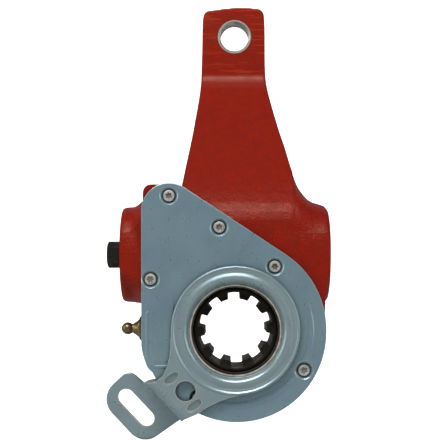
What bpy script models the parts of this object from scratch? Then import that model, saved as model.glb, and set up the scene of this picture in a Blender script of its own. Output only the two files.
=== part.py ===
"""Automatic brake slack adjuster: a cranked lever with a worm drive on a splined camshaft.

X runs along the worm shaft, Y along the camshaft (the cover faces -Y) and Z up the lever.
The origin is on the camshaft axis, in the plane of the worm axis.
"""

import math

import bmesh
import bpy
from mathutils import Matrix, Vector

MM = 0.001

# Clearances that every fit is worked out from
SEAT_GAP = 0.1 * MM
RUN_GAP = 0.25 * MM

# Camshaft spline and the worm wheel that carries it
SPLINE_TEETH = 10
SPLINE_MAJOR_R = 19.05 * MM
SPLINE_MINOR_R = 15.75 * MM
SPLINE_SLOT_W = 6.0 * MM
WHEEL_TEETH = 23
GEAR_MODULE = 2.5 * MM
GEAR_BACKLASH = 0.5 * MM
WHEEL_FACE_W = 21.0 * MM
WHEEL_HUB_R = 21.3 * MM
WHEEL_FRONT_SINK = 2.4 * MM
WHEEL_BACK_SINK = 4.2 * MM
SPLINE_MOUTH = 0.6 * MM
PRESSURE_ANGLE = math.radians(20)

# Worm shaft, along X
WORM_AXIS_Z = 38.5 * MM
THREAD_LENGTH = 27.0 * MM
HEX_FLATS = 12.0 * MM
HEX_LENGTH = 7.0 * MM
HEX_END_X = -66.7 * MM
SHAFT_R = 7.4 * MM
BEARING_R = 8.9 * MM
BEARING_W = 5.6 * MM
TAIL_R = 6.0 * MM

# Lever housing
BODY_R = 40.4 * MM
BODY_FILLET = 2.4 * MM
FLANGE_T = 5.0 * MM
STOCK = 1.0 * MM
BARREL_R = 24.7 * MM
FRONT_FLAT = 2.3 * MM
BACK_FLAT = 2.7 * MM
BARREL_LEFT_X = -58.4 * MM
BARREL_RIGHT_X = 48.0 * MM
BLOCK_INSET = 0.6 * MM
BLOCK_RISE = 10.0 * MM
BLOCK_BOTTOM_Z = -17.4 * MM
BLOCK_BACK_Y = -0.2 * MM
BLOCK_CORNER_R = 3.5 * MM
BOSS_FLARE = 4.4 * MM
SHOULDER_BACK_Y = 9.0 * MM

# Lever and its eye
LEVER_LENGTH = 165.0 * MM
EYE_FRONT_Y = 51.4 * MM
EYE_T = 11.0 * MM
EYE_HALF_W = 18.0 * MM
EYE_TOP = 17.8 * MM
EYE_BEND_DROP = 24.0 * MM
LEVER_LEFT_FOOT_X = -29.0 * MM
LEVER_RIGHT_FOOT_X = 31.9 * MM
LEVER_FOOT_RISE = 8.8 * MM
BUSH_BORE_R = 8.0 * MM
BUSH_WALL = 1.7 * MM

# Cover plate, its gasket and its screws
PLATE_T = 2.0 * MM
PLATE_OVERHANG = 5.1 * MM
PLATE_LEFT_REACH = 1.7 * MM
PLATE_CORNER_RISE = 1.15 * MM
PLATE_CORNER_START = 194.5
PLATE_CORNER_END = 216.0
PLATE_CORNER_Z = -7.3 * MM
LOBE_R = 13.9 * MM
LOBE_DROP = 13.3 * MM
GASKET_T = 0.4 * MM
EDGE_INSET = 1.0 * MM
EDGE_SCREWS = (
    ("screw_top", 65.0 * MM, 7.8 * MM),
    ("screw_upper", 35.3 * MM, 7.0 * MM),
    ("screw_right", 1.2 * MM, 8.1 * MM),
)
ROUND_SCREWS = (("screw_lower_right", -30.3, 5.9 * MM), ("screw_lower_left", 241.1, 6.6 * MM))
LEFT_SCREW_INSET = 4.6 * MM
LEFT_SCREW_Z = 25.5 * MM
SCREW_R = 1.9 * MM
SCREW_HEAD_R = 3.1 * MM
SCREW_SINK_R = 3.9 * MM
SCREW_GRIP = 6.0 * MM
PAD_RISE = 0.3 * MM

# Control arm: pressed sheet with a ring, a joggled tail and a slotted foot
SHEET_T = 4.0 * MM
SHEET_GAP = 0.5 * MM
RING_R = 32.2 * MM
RING_LIP_R = 25.7 * MM
RING_BORE_R = 23.2 * MM
RIM_RISE = 0.6 * MM
RIM_INSET = 0.3 * MM
VALLEY_OUTER_R = 30.7 * MM
VALLEY_INNER_R = 27.6 * MM
VALLEY_DEPTH = 0.9 * MM
TAIL_ANGLE = math.radians(223.2)
TAIL_CLEARANCE = 0.25 * MM
TAIL_LOW_V = -11.7 * MM
TAIL_HIGH_V = 14.8 * MM
FOOT_FRONT_Y = -7.7 * MM
FOOT_LENGTH = 25.4 * MM
FOOT_LOW_V = -22.5 * MM
FOOT_CORNER_R = 10.6 * MM
SLOT_FROM_WALL = 14.5 * MM
SLOT_LOW_V = -12.8 * MM
SLOT_HIGH_V = 2.2 * MM
SLOT_R = 4.3 * MM
ACCESS_HOLE_X = -24.9 * MM
ACCESS_HOLE_Z = -30.0 * MM
ACCESS_HOLE_R = 5.1 * MM

# Control hub and its notched disc, inside the cover
HUB_BORE_R = 21.9 * MM
HUB_R = 25.3 * MM
DISC_R = 30.8 * MM
DISC_T = 2.8 * MM
SEAL_WALL = 1.6 * MM
BACK_SEAL_WALL = 3.0 * MM

# Rack, clutch gear and their springs
PINION_TEETH = 16
PINION_MODULE = 1.5 * MM
PINION_BACKLASH = 0.4 * MM
RACK_LEFT_X = -39.1 * MM
RACK_W = 7.0 * MM
RACK_FRONT_Y = -21.6 * MM
RACK_TOP_Z = 51.0 * MM
RACK_TRAVEL_DOWN = 7.5 * MM
PEG_R = 2.3 * MM
PEG_REACH = 29.6 * MM
PEG_CLEARANCE = 0.5 * MM
RACK_SPRING_R = 2.4 * MM
RACK_SPRING_WIRE_R = 0.5 * MM
RACK_SPRING_TURNS = 4
CLUTCH_CHAMBER_R = 16.4 * MM
WORM_BORE_CLEARANCE = 0.4 * MM
CLUTCH_RING_R = 12.9 * MM
CLUTCH_RING_W = 5.2 * MM
SLEEVE_R = 9.6 * MM
SLEEVE_LENGTH = 9.6 * MM
WRAP_WIRE_R = 0.75 * MM
WRAP_TURNS = 4

# Pressure spring and the cover of its chamber
SPRING_R = 10.6 * MM
SPRING_WIRE_R = 2.1 * MM
SPRING_TURNS = 4
SPRING_START_X = 19.4 * MM
END_COVER_R = 16.0 * MM
END_COVER_T = 4.2 * MM
END_COVER_SINK = 0.5 * MM

# Worm cap, its lock pin and the grease nipple
CAP_R = 18.0 * MM
CAP_T = 6.8 * MM
CAP_SINK = 0.4 * MM
DIMPLE_R = 2.6 * MM
DIMPLE_OFFSET = 12.5 * MM
DIMPLE_DEPTH = 3.0 * MM
LOCK_PIN_R = 2.2 * MM
LOCK_PIN_OFFSET = 17.2 * MM
NIPPLE_Y = -0.9 * MM
NIPPLE_FLATS = 11.0 * MM
NIPPLE_HEX_W = 3.4 * MM
NIPPLE_BALL_R = 3.2 * MM
NIPPLE_NECK_R = 2.3 * MM
NIPPLE_STEM_R = 3.9 * MM
NIPPLE_LENGTH = 12.6 * MM
NIPPLE_BOSS_R = 7.4 * MM

# Flat sides of the round pieces, by size
LARGE_SIDES = 32
MEDIUM_SIDES = 26
SMALL_SIDES = 12

# Places that follow from the sizes above
HOUSING_FRONT_Y = FRONT_FLAT - BARREL_R
HOUSING_BACK_Y = BARREL_R - BACK_FLAT
WHEEL_FRONT_Y = HOUSING_FRONT_Y + WHEEL_FRONT_SINK
WHEEL_BACK_Y = HOUSING_BACK_Y - WHEEL_BACK_SINK
BARREL_TOP_Z = WORM_AXIS_Z + BARREL_R
BLOCK_TOP_Z = BARREL_TOP_Z + BLOCK_RISE
LEVER_FOOT_Z = BARREL_TOP_Z + LEVER_FOOT_RISE
PLATE_R = BODY_R + PLATE_OVERHANG
PLATE_LEFT_X = -PLATE_R - PLATE_LEFT_REACH
PLATE_CORNER_R = PLATE_R + PLATE_CORNER_RISE
BLOCK_LEFT_X = PLATE_LEFT_X + BLOCK_INSET
LOBE_X = PLATE_LEFT_X + LOBE_R
LOBE_Z = BLOCK_TOP_Z - LOBE_DROP
TAIL_REACH = PLATE_CORNER_R + TAIL_CLEARANCE + SHEET_T
FOOT_REACH = TAIL_REACH + FOOT_LENGTH
SLOT_REACH = TAIL_REACH + SLOT_FROM_WALL
WHEEL_PITCH_R = WHEEL_TEETH * GEAR_MODULE / 2
WHEEL_TIP_R = WHEEL_PITCH_R + GEAR_MODULE
WHEEL_ROOT_R = WHEEL_PITCH_R - 1.25 * GEAR_MODULE
WORM_PITCH_R = WORM_AXIS_Z - WHEEL_PITCH_R
WORM_TIP_R = WORM_PITCH_R + 0.95 * GEAR_MODULE
WORM_ROOT_R = WORM_PITCH_R - 1.2 * GEAR_MODULE
WORM_PITCH = math.pi * GEAR_MODULE
WORM_BORE_R = WORM_TIP_R + WORM_BORE_CLEARANCE
POCKET_R = WHEEL_TIP_R + 0.75 * MM
WHEEL_FACE_FRONT_Y = -WHEEL_FACE_W / 2
WHEEL_FACE_BACK_Y = WHEEL_FACE_W / 2
POCKET_BACK_Y = WHEEL_FACE_BACK_Y + 2 * RUN_GAP
BACK_SEAL_FRONT_Y = WHEEL_BACK_Y - 4.0 * MM
BACK_SEAL_R = WHEEL_HUB_R + BACK_SEAL_WALL
GASKET_FRONT_Y = HOUSING_FRONT_Y - SEAT_GAP - GASKET_T
PLATE_BACK_Y = GASKET_FRONT_Y - SEAT_GAP
PLATE_FRONT_Y = PLATE_BACK_Y - PLATE_T
SHEET_BACK_Y = PLATE_FRONT_Y - SHEET_GAP
SHEET_FRONT_Y = SHEET_BACK_Y - SHEET_T
DISC_FRONT_Y = PLATE_BACK_Y + 2 * RUN_GAP
DISC_BACK_Y = DISC_FRONT_Y + DISC_T
PLATE_HOLE_R = HUB_R + SEAL_WALL + 2 * RUN_GAP
PINION_R = PINION_TEETH * PINION_MODULE / 2
PINION_TIP_R = PINION_R + PINION_MODULE
PINION_ROOT_R = PINION_R - 1.25 * PINION_MODULE
RACK_RIGHT_X = RACK_LEFT_X + RACK_W
RACK_MID_X = RACK_LEFT_X + RACK_W / 2
RACK_BACK_Y = -PINION_R - 1.25 * PINION_MODULE
RACK_BOTTOM_Z = -PEG_R - 1.2 * MM
SLOT_BOTTOM_Z = RACK_BOTTOM_Z - RACK_TRAVEL_DOWN - 1.0 * MM
SLOT_TOP_Z = LOBE_Z + 1.8 * MM
EYE_BACK_Y = EYE_FRONT_Y + EYE_T
CAP_FRONT_X = BARREL_LEFT_X + CAP_SINK
CAP_BACK_X = CAP_FRONT_X + CAP_T
THREAD_END_X = THREAD_LENGTH / 2
BEARING_BACK_X = -THREAD_END_X - 4.6 * MM
BEARING_FRONT_X = BEARING_BACK_X - BEARING_W
CLUTCH_RING_FRONT_X = BEARING_FRONT_X - 1.0 * MM - CLUTCH_RING_W
END_COVER_FRONT_X = BARREL_RIGHT_X - END_COVER_SINK
END_COVER_BACK_X = END_COVER_FRONT_X - END_COVER_T
SEAT_FRONT_X = THREAD_END_X + 3.7 * MM
NIPPLE_SEAT_X = BLOCK_LEFT_X


def make_material(name, colour, roughness, metallic):
    material = bpy.data.materials.new(name)
    material.use_nodes = True
    shader = material.node_tree.nodes["Principled BSDF"]
    shader.inputs["Base Color"].default_value = (*colour, 1.0)
    shader.inputs["Roughness"].default_value = roughness
    shader.inputs["Metallic"].default_value = metallic
    return material


def clear_scene():
    for obj in list(bpy.data.objects):
        bpy.data.objects.remove(obj, do_unlink=True)


def object_from(bm, name, material=None):
    """A closed mesh object with outward faces, smooth where it is round."""
    bmesh.ops.remove_doubles(bm, verts=bm.verts, dist=1e-7)
    bmesh.ops.recalc_face_normals(bm, faces=bm.faces)
    mesh = bpy.data.meshes.new(name)
    bm.to_mesh(mesh)
    bm.free()
    obj = bpy.data.objects.new(name, mesh)
    bpy.context.scene.collection.objects.link(obj)
    if material:
        mesh.materials.append(material)
    return obj


def finish(obj, name, material):
    """Gives a built-up object its final name, material and shading."""
    obj.name = name
    obj.data.name = name
    obj.data.materials.clear()
    obj.data.materials.append(material)
    obj.data.shade_smooth()
    obj.data.set_sharp_from_angle(angle=math.radians(32))
    return obj


def combine(target, tool, operation):
    """Applies a Boolean of the tool to the target, then removes the tool."""
    modifier = target.modifiers.new("combine", "BOOLEAN")
    modifier.operation = operation
    modifier.solver = "EXACT"
    modifier.object = tool
    bpy.context.view_layer.update()
    graph = bpy.context.evaluated_depsgraph_get()
    mesh = bpy.data.meshes.new_from_object(target.evaluated_get(graph))
    target.modifiers.clear()
    target.data = mesh
    bpy.data.objects.remove(tool, do_unlink=True)
    return target


def join(target, *tools):
    for tool in tools:
        combine(target, tool, "UNION")
    return target


def cut(target, *tools):
    for tool in tools:
        combine(target, tool, "DIFFERENCE")
    return target


def bevelled(obj, width, segments=2, angle=30):
    """Rounds the sharp edges of an object and applies the result."""
    modifier = obj.modifiers.new("round", "BEVEL")
    modifier.width = width
    modifier.segments = segments
    modifier.limit_method = "ANGLE"
    modifier.angle_limit = math.radians(angle)
    bpy.context.view_layer.update()
    graph = bpy.context.evaluated_depsgraph_get()
    mesh = bpy.data.meshes.new_from_object(obj.evaluated_get(graph))
    obj.modifiers.clear()
    obj.data = mesh
    return obj


def arc(centre_a, centre_b, radius, start, end, steps):
    """Points on a circular arc, angles in degrees."""
    points = []
    for step in range(steps + 1):
        angle = math.radians(start + (end - start) * step / steps)
        points.append((centre_a + radius * math.cos(angle), centre_b + radius * math.sin(angle)))
    return points


def prism(outline, normal, low, high):
    """Extrudes an outline along X, Y or Z from low to high."""
    place = {
        "X": lambda a, b, h: (h, a, b),
        "Y": lambda a, b, h: (a, h, b),
        "Z": lambda a, b, h: (a, b, h),
    }[normal]
    bm = bmesh.new()
    base = [bm.verts.new(place(a, b, low)) for a, b in outline]
    face = bm.faces.new(base)
    extruded = bmesh.ops.extrude_face_region(bm, geom=[face])
    moved = [item for item in extruded["geom"] if isinstance(item, bmesh.types.BMVert)]
    bmesh.ops.translate(bm, verts=moved, vec=Vector(place(0, 0, high - low)))
    return object_from(bm, "prism")


def box(low, high):
    outline = [(low[0], low[2]), (high[0], low[2]), (high[0], high[2]), (low[0], high[2])]
    return prism(outline, "Y", low[1], high[1])


def turned(profile, axis, centre=(0, 0, 0), segments=MEDIUM_SIDES, phase=0.0):
    """Turns a closed profile of (radius, height) points about X, Y or Z through centre."""
    place = {
        "X": lambda r, h, c, s: (h, r * c, r * s),
        "Y": lambda r, h, c, s: (r * c, h, r * s),
        "Z": lambda r, h, c, s: (r * c, r * s, h),
    }[axis]
    bm = bmesh.new()
    rings = []
    for radius, height in profile:
        ring = []
        for step in range(segments if radius > 0 else 1):
            angle = phase + 2 * math.pi * step / segments
            point = Vector(place(radius, height, math.cos(angle), math.sin(angle)))
            ring.append(bm.verts.new(point + Vector(centre)))
        rings.append(ring)
    for index, ring in enumerate(rings):
        other = rings[(index + 1) % len(rings)]
        for step in range(segments):
            after = (step + 1) % segments
            corners = [ring[step % len(ring)], ring[after % len(ring)]]
            corners += [other[after % len(other)], other[step % len(other)]]
            corners = list(dict.fromkeys(corners))
            if len(corners) > 2:
                bm.faces.new(corners)
    return object_from(bm, "turned")


def rod(radius, axis, low, high, centre=(0, 0, 0), segments=MEDIUM_SIDES, phase=0.0):
    profile = [(0, low), (radius, low), (radius, high), (0, high)]
    return turned(profile, axis, centre, segments, phase)


def ring(inner, outer, axis, low, high, centre=(0, 0, 0), segments=MEDIUM_SIDES):
    profile = [(inner, low), (outer, low), (outer, high), (inner, high)]
    return turned(profile, axis, centre, segments)


def hexagon_rod(flats, axis, low, high, centre, chamfer):
    """A hexagonal bar with corners up and down and a chamfered low end."""
    corner = flats / math.sqrt(3)
    profile = [(0, low), (corner - chamfer, low), (corner, low + chamfer), (corner, high), (0, high)]
    return turned(profile, axis, centre, 6, math.pi / 2)


def coil(mean_radius, wire_radius, turns, axis, low, high, centre, sides, steps):
    """A compression spring: a round wire swept along a helix, with its ends capped."""
    place = {
        "X": lambda a, b, h: (h, a, b),
        "Z": lambda a, b, h: (a, b, h),
    }[axis]
    bm = bmesh.new()
    first = low + wire_radius
    rise = high - low - 2 * wire_radius
    loops = []
    count = turns * steps
    for step in range(count + 1):
        angle = 2 * math.pi * step / steps
        height = first + rise * step / count
        loop = []
        for side in range(sides):
            around = 2 * math.pi * side / sides
            radius = mean_radius + wire_radius * math.cos(around)
            lift = height + wire_radius * math.sin(around)
            point = place(radius * math.cos(angle), radius * math.sin(angle), lift)
            loop.append(bm.verts.new(Vector(point) + Vector(centre)))
        loops.append(loop)
    for before, after in zip(loops, loops[1:]):
        for side in range(sides):
            beside = (side + 1) % sides
            bm.faces.new([before[side], before[beside], after[beside], after[side]])
    bm.faces.new(loops[0])
    bm.faces.new(loops[-1])
    return object_from(bm, "coil")


def involute_outline(teeth, module, backlash, root_clearance=1.25):
    """The outline of a spur gear with involute flanks, as (angle, radius) pairs."""
    pitch_r = teeth * module / 2
    base_r = pitch_r * math.cos(PRESSURE_ANGLE)
    tip_r = pitch_r + module
    root_r = pitch_r - root_clearance * module
    half_tooth = (math.pi * module / 2 - backlash) / (2 * pitch_r)

    def roll(radius):
        ratio = max(radius / base_r, 1.0)
        return math.sqrt(ratio * ratio - 1) - math.acos(1 / ratio)

    flank = [max(base_r, root_r), pitch_r, tip_r]
    outline = []
    for tooth in range(teeth):
        middle = 2 * math.pi * tooth / teeth
        outline.append((middle - math.pi / teeth, root_r))
        for radius in flank:
            half = half_tooth + roll(pitch_r) - roll(radius)
            outline.append((middle - half, radius))
        for radius in reversed(flank):
            half = half_tooth + roll(pitch_r) - roll(radius)
            outline.append((middle + half, radius))
    return outline


def worm_wheel(material):
    """The wheel: helical teeth that match the worm, hubs on both sides and the camshaft spline."""
    twist_per_m = WORM_PITCH / (2 * math.pi * WORM_PITCH_R) / WHEEL_PITCH_R
    outline = involute_outline(WHEEL_TEETH, GEAR_MODULE, GEAR_BACKLASH)
    bm = bmesh.new()
    slices = 2
    loops = []
    for index in range(slices):
        y = WHEEL_FACE_FRONT_Y + WHEEL_FACE_W * index / (slices - 1)
        loop = []
        for angle, radius in outline:
            # Zero is straight up, where a tooth gap faces the worm thread
            around = angle + math.pi / WHEEL_TEETH + y * twist_per_m
            loop.append(bm.verts.new((radius * math.sin(around), y, radius * math.cos(around))))
        loops.append(loop)
    for before, after in zip(loops, loops[1:]):
        for index in range(len(outline)):
            beside = (index + 1) % len(outline)
            bm.faces.new([before[index], before[beside], after[beside], after[index]])
    bm.faces.new(loops[0])
    bm.faces.new(loops[-1])
    wheel = object_from(bm, "wheel")
    hub = turned(
        [
            (0, WHEEL_FRONT_Y),
            (WHEEL_HUB_R - 0.8 * MM, WHEEL_FRONT_Y),
            (WHEEL_HUB_R, WHEEL_FRONT_Y + 0.8 * MM),
            (WHEEL_HUB_R, WHEEL_BACK_Y - 0.8 * MM),
            (WHEEL_HUB_R - 0.8 * MM, WHEEL_BACK_Y),
            (0, WHEEL_BACK_Y),
        ],
        "Y",
        segments=LARGE_SIDES,
    )
    join(wheel, hub)
    cut(wheel, spline_cutter())
    return finish(wheel, "worm_wheel", material)


def spline_cutter():
    """The camshaft's spline as a cutter, with a slot straight up and a chamfer at each mouth."""
    outline = []
    for slot in range(SPLINE_TEETH):
        middle = math.pi / 2 + 2 * math.pi * slot / SPLINE_TEETH
        for radius, side in (
            (SPLINE_MINOR_R, -1),
            (SPLINE_MAJOR_R, -1),
            (SPLINE_MAJOR_R, 0),
            (SPLINE_MAJOR_R, 1),
            (SPLINE_MINOR_R, 1),
        ):
            angle = middle + side * math.asin(SPLINE_SLOT_W / 2 / radius)
            outline.append((radius * math.cos(angle), radius * math.sin(angle)))
        between = middle + math.pi / SPLINE_TEETH
        outline.append((SPLINE_MINOR_R * math.cos(between), SPLINE_MINOR_R * math.sin(between)))
    reach = 2.0 * MM
    cutter = prism(outline, "Y", WHEEL_FRONT_Y - reach, WHEEL_BACK_Y + reach)
    front = turned(
        [
            (0, WHEEL_FRONT_Y - reach),
            (SPLINE_MAJOR_R + SPLINE_MOUTH, WHEEL_FRONT_Y - reach),
            (SPLINE_MAJOR_R - SPLINE_MOUTH, WHEEL_FRONT_Y + SPLINE_MOUTH),
            (0, WHEEL_FRONT_Y + SPLINE_MOUTH),
        ],
        "Y",
        segments=LARGE_SIDES,
    )
    back = turned(
        [
            (0, WHEEL_BACK_Y - SPLINE_MOUTH),
            (SPLINE_MAJOR_R - SPLINE_MOUTH, WHEEL_BACK_Y - SPLINE_MOUTH),
            (SPLINE_MAJOR_R + SPLINE_MOUTH, WHEEL_BACK_Y + reach),
            (0, WHEEL_BACK_Y + reach),
        ],
        "Y",
        segments=LARGE_SIDES,
    )
    return join(cutter, front, back)


def worm_shaft(material):
    """The shaft: hexagon, bearing journal, single-start thread and spring tail."""
    axis = (0, 0, WORM_AXIS_Z)
    hex_root_x = HEX_END_X + HEX_LENGTH
    core = turned(
        [
            (0, hex_root_x - 0.5 * MM),
            (SHAFT_R - 0.8 * MM, hex_root_x),
            (SHAFT_R, hex_root_x + 0.8 * MM),
            (SHAFT_R, BEARING_FRONT_X - 0.8 * MM),
            (BEARING_R, BEARING_FRONT_X - 0.8 * MM),
            (BEARING_R, BEARING_BACK_X + 0.8 * MM),
            (WORM_ROOT_R, BEARING_BACK_X + 2.4 * MM),
            (WORM_ROOT_R, THREAD_END_X + 1.5 * MM),
            (TAIL_R, THREAD_END_X + 2.5 * MM),
            (TAIL_R, END_COVER_BACK_X + 2.0 * MM),
            (0, END_COVER_BACK_X + 2.0 * MM),
        ],
        "X",
        axis,
    )
    hexagon = hexagon_rod(HEX_FLATS, "X", HEX_END_X, hex_root_x + 0.4 * MM, axis, 0.9 * MM)
    join(core, hexagon, thread_ridge())
    centre_drill = turned(
        [
            (0, HEX_END_X - 1 * MM),
            (1.8 * MM, HEX_END_X - 1 * MM),
            (1.6 * MM, HEX_END_X + 1.5 * MM),
            (0, HEX_END_X + 3 * MM),
        ],
        "X",
        axis,
        SMALL_SIDES,
    )
    cut(core, centre_drill)
    return finish(core, "worm_shaft", material)


def thread_ridge():
    """The worm's thread: a trapezoid swept along a right-hand helix and sunk into the core."""
    slope = math.tan(PRESSURE_ANGLE)
    sunk_r = WORM_ROOT_R - 0.3 * MM
    half_pitch_line = (WORM_PITCH / 2 - GEAR_BACKLASH) / 2
    section = []
    for radius, side in ((sunk_r, -1), (WORM_TIP_R, -1), (WORM_TIP_R, 1), (sunk_r, 1)):
        section.append((side * (half_pitch_line - (radius - WORM_PITCH_R) * slope), radius))
    steps_per_turn = 16
    turns = (THREAD_LENGTH - 2 * section[-1][0]) / WORM_PITCH
    count = int(turns * steps_per_turn)
    bm = bmesh.new()
    loops = []
    for step in range(-count // 2, count // 2 + 1):
        angle = 2 * math.pi * step / steps_per_turn
        middle = WORM_PITCH * step / steps_per_turn
        loop = []
        for shift, radius in section:
            # The thread passes straight down, into the wheel, at x = 0
            y = radius * math.sin(angle)
            z = -radius * math.cos(angle)
            loop.append(bm.verts.new((middle + shift, y, WORM_AXIS_Z + z)))
        loops.append(loop)
    for before, after in zip(loops, loops[1:]):
        for side in range(4):
            beside = (side + 1) % 4
            bm.faces.new([before[side], before[beside], after[beside], after[side]])
    bm.faces.new(loops[0])
    bm.faces.new(loops[-1])
    return object_from(bm, "thread")


def lever_blank():
    """The cranked lever: its side profile and its front outline, intersected, then rounded."""
    eye_z = LEVER_LENGTH
    top_z = eye_z + EYE_TOP
    bend_front_z = eye_z - EYE_BEND_DROP
    bend_back_z = bend_front_z - 7.5 * MM
    foot_front_y = HOUSING_FRONT_Y + 13.0 * MM
    foot_back_y = HOUSING_BACK_Y - 6.8 * MM
    side = [
        (EYE_FRONT_Y, top_z + 5 * MM),
        (EYE_FRONT_Y, bend_front_z + 1.5 * MM),
        (EYE_FRONT_Y - 1.2 * MM, bend_front_z - 2.0 * MM),
        (foot_front_y, LEVER_FOOT_Z + 2.0 * MM),
        (foot_front_y, WORM_AXIS_Z + 4 * MM),
        (foot_back_y, WORM_AXIS_Z + 4 * MM),
        (foot_back_y, LEVER_FOOT_Z - 7.0 * MM),
        (foot_back_y + 3.9 * MM, LEVER_FOOT_Z + 0.4 * MM),
        (EYE_BACK_Y - 1.6 * MM, bend_back_z - 0.6 * MM),
        (EYE_BACK_Y, bend_back_z + 4.0 * MM),
        (EYE_BACK_Y, top_z + 5 * MM),
    ]
    blank = prism(side, "X", -80 * MM, 80 * MM)
    crown_left_z = eye_z + 15.0 * MM
    front = [
        (-EYE_HALF_W, bend_front_z - 3 * MM),
        (LEVER_LEFT_FOOT_X, LEVER_FOOT_Z),
        (LEVER_LEFT_FOOT_X - 1.0 * MM, WORM_AXIS_Z),
        (BARREL_RIGHT_X - 6 * MM, WORM_AXIS_Z),
        (BARREL_RIGHT_X - 6 * MM, WORM_AXIS_Z + BARREL_R - 0.4 * MM),
        (LEVER_RIGHT_FOOT_X + 6.2 * MM, LEVER_FOOT_Z - 6.6 * MM),
        (LEVER_RIGHT_FOOT_X + 3.0 * MM, LEVER_FOOT_Z - 2.0 * MM),
        (LEVER_RIGHT_FOOT_X + 0.6 * MM, LEVER_FOOT_Z + 5.0 * MM),
        (EYE_HALF_W, bend_front_z - 2 * MM),
        (EYE_HALF_W, eye_z + 12.0 * MM),
        (EYE_HALF_W - 1.2 * MM, eye_z + 15.6 * MM),
        (EYE_HALF_W * 0.7, top_z - 0.6 * MM),
        (EYE_HALF_W * 0.25, top_z),
        (-EYE_HALF_W * 0.3, top_z - 0.6 * MM),
        (-EYE_HALF_W * 0.85, crown_left_z),
        (-EYE_HALF_W * 0.97, crown_left_z - 4.5 * MM),
        (-EYE_HALF_W, eye_z + 4.0 * MM),
    ]
    outline = prism(front, "Y", -40 * MM, 80 * MM)
    combine(blank, outline, "INTERSECT")
    return bevelled(blank, 1.6 * MM, 1, 40)


def barrel_blank():
    """The worm barrel along X, flared into the rack block and flattened at its front and back."""
    left = BARREL_LEFT_X
    right = BARREL_RIGHT_X
    edge = 1.4 * MM
    flare_r = BARREL_R + BOSS_FLARE
    barrel = turned(
        [
            (0, left),
            (BARREL_R - edge, left),
            (BARREL_R + 0.1 * BOSS_FLARE, left + 5.5 * MM),
            (BARREL_R + 0.7 * BOSS_FLARE, left + 9.5 * MM),
            (flare_r, BLOCK_LEFT_X + 1.0 * MM),
            (BARREL_R, BLOCK_LEFT_X + 3 * BOSS_FLARE),
            (BARREL_R, right - edge),
            (BARREL_R - edge, right),
            (0, right),
        ],
        "X",
        (0, 0, WORM_AXIS_Z),
        LARGE_SIDES,
    )
    far = 60 * MM
    front_y = HOUSING_FRONT_Y - 0.5 * STOCK
    keep = box((left - far, front_y, -far), (right + far, HOUSING_BACK_Y + 0.2 * MM, 2 * far))
    return combine(barrel, keep, "INTERSECT")


def body_blank():
    """The round body about the camshaft axis, with its fillet to the land and its rounded back."""
    back = HOUSING_BACK_Y
    land_back_y = HOUSING_FRONT_Y + FLANGE_T
    return turned(
        [
            (0, HOUSING_FRONT_Y - STOCK),
            (BODY_R + BODY_FILLET, HOUSING_FRONT_Y - STOCK),
            (BODY_R + BODY_FILLET, land_back_y + 0.4 * MM),
            (BODY_R, land_back_y + BODY_FILLET),
            (BODY_R, back - 14.0 * MM),
            (BODY_R - 2.4 * MM, back - 9.2 * MM),
            (BODY_R - 6.0 * MM, back - 5.2 * MM),
            (BODY_R - 10.5 * MM, back - 2.0 * MM),
            (BODY_R - 14.5 * MM, back),
            (0, back),
        ],
        "Y",
        segments=LARGE_SIDES,
    )


def slant_degrees():
    """The way the cover's slanted edge faces, as the tangent of its big circle and its lobe."""
    lean = math.atan2(LOBE_Z, LOBE_X) - math.acos((PLATE_R - LOBE_R) / math.hypot(LOBE_X, LOBE_Z))
    return math.degrees(lean)


def screw_places():
    """The name, X and Z of every cover screw, each set in from the plate's edge."""
    lean = math.radians(slant_degrees())
    places = [("screw_left", PLATE_LEFT_X + LEFT_SCREW_INSET, LEFT_SCREW_Z)]
    for name, along, inset in EDGE_SCREWS:
        out = PLATE_R - inset
        x = out * math.cos(lean) - along * math.sin(lean)
        z = out * math.sin(lean) + along * math.cos(lean)
        places.append((name, x, z))
    for name, degrees, inset in ROUND_SCREWS:
        around = math.radians(degrees)
        places.append((name, (PLATE_R - inset) * math.cos(around), (PLATE_R - inset) * math.sin(around)))
    return places


def plate_outline(inset):
    """The cover's outline: a big circle, a lobe, the tangent between them and a straight left side."""
    big = PLATE_R - inset
    lobe = LOBE_R - inset
    left = PLATE_LEFT_X + inset
    lean = slant_degrees()
    points = arc(0, 0, big, lean, PLATE_CORNER_END - 360, 18)
    points += arc(0, 0, PLATE_CORNER_R - inset, PLATE_CORNER_END - 2, PLATE_CORNER_START, 3)
    points.append((left, PLATE_CORNER_Z))
    points += arc(LOBE_X, LOBE_Z, lobe, 180, lean, 8)
    return points


def block_outline():
    """The rack block's outline behind the cover's left side, kept inside the cover's corner."""
    left = BLOCK_LEFT_X
    top = BLOCK_TOP_Z
    corner = BLOCK_CORNER_R
    round_r = PLATE_CORNER_R - BLOCK_INSET
    low_corner = 180 + math.degrees(math.asin(-BLOCK_BOTTOM_Z / round_r))
    points = [(LEVER_LEFT_FOOT_X + 9 * MM, BLOCK_BOTTOM_Z)]
    points += arc(0, 0, round_r, low_corner, PLATE_CORNER_START, 2)
    points.append((left, PLATE_CORNER_Z))
    points += reversed(arc(left + corner, top - corner, corner, 90, 180, 4))
    points.append((LEVER_LEFT_FOOT_X + 9 * MM, top))
    return points


def shoulder_blank():
    """The web that runs from the barrel's right end down to the round body."""
    side_x = BARREL_RIGHT_X - 0.8 * MM
    outline = [
        (BODY_R * 0.7, WORM_AXIS_Z - 6 * MM),
        (side_x, WORM_AXIS_Z - 6 * MM),
        (side_x, WORM_AXIS_Z * 0.16),
        (side_x - 0.9 * MM, 0),
        (BODY_R + BODY_FILLET + 1.0 * MM, -6.0 * MM),
        (BODY_R + 0.5 * MM, -13.0 * MM),
        (BODY_R * 0.7, -13.0 * MM),
    ]
    return prism(outline, "Y", HOUSING_FRONT_Y - 0.7 * STOCK, SHOULDER_BACK_Y)


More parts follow.
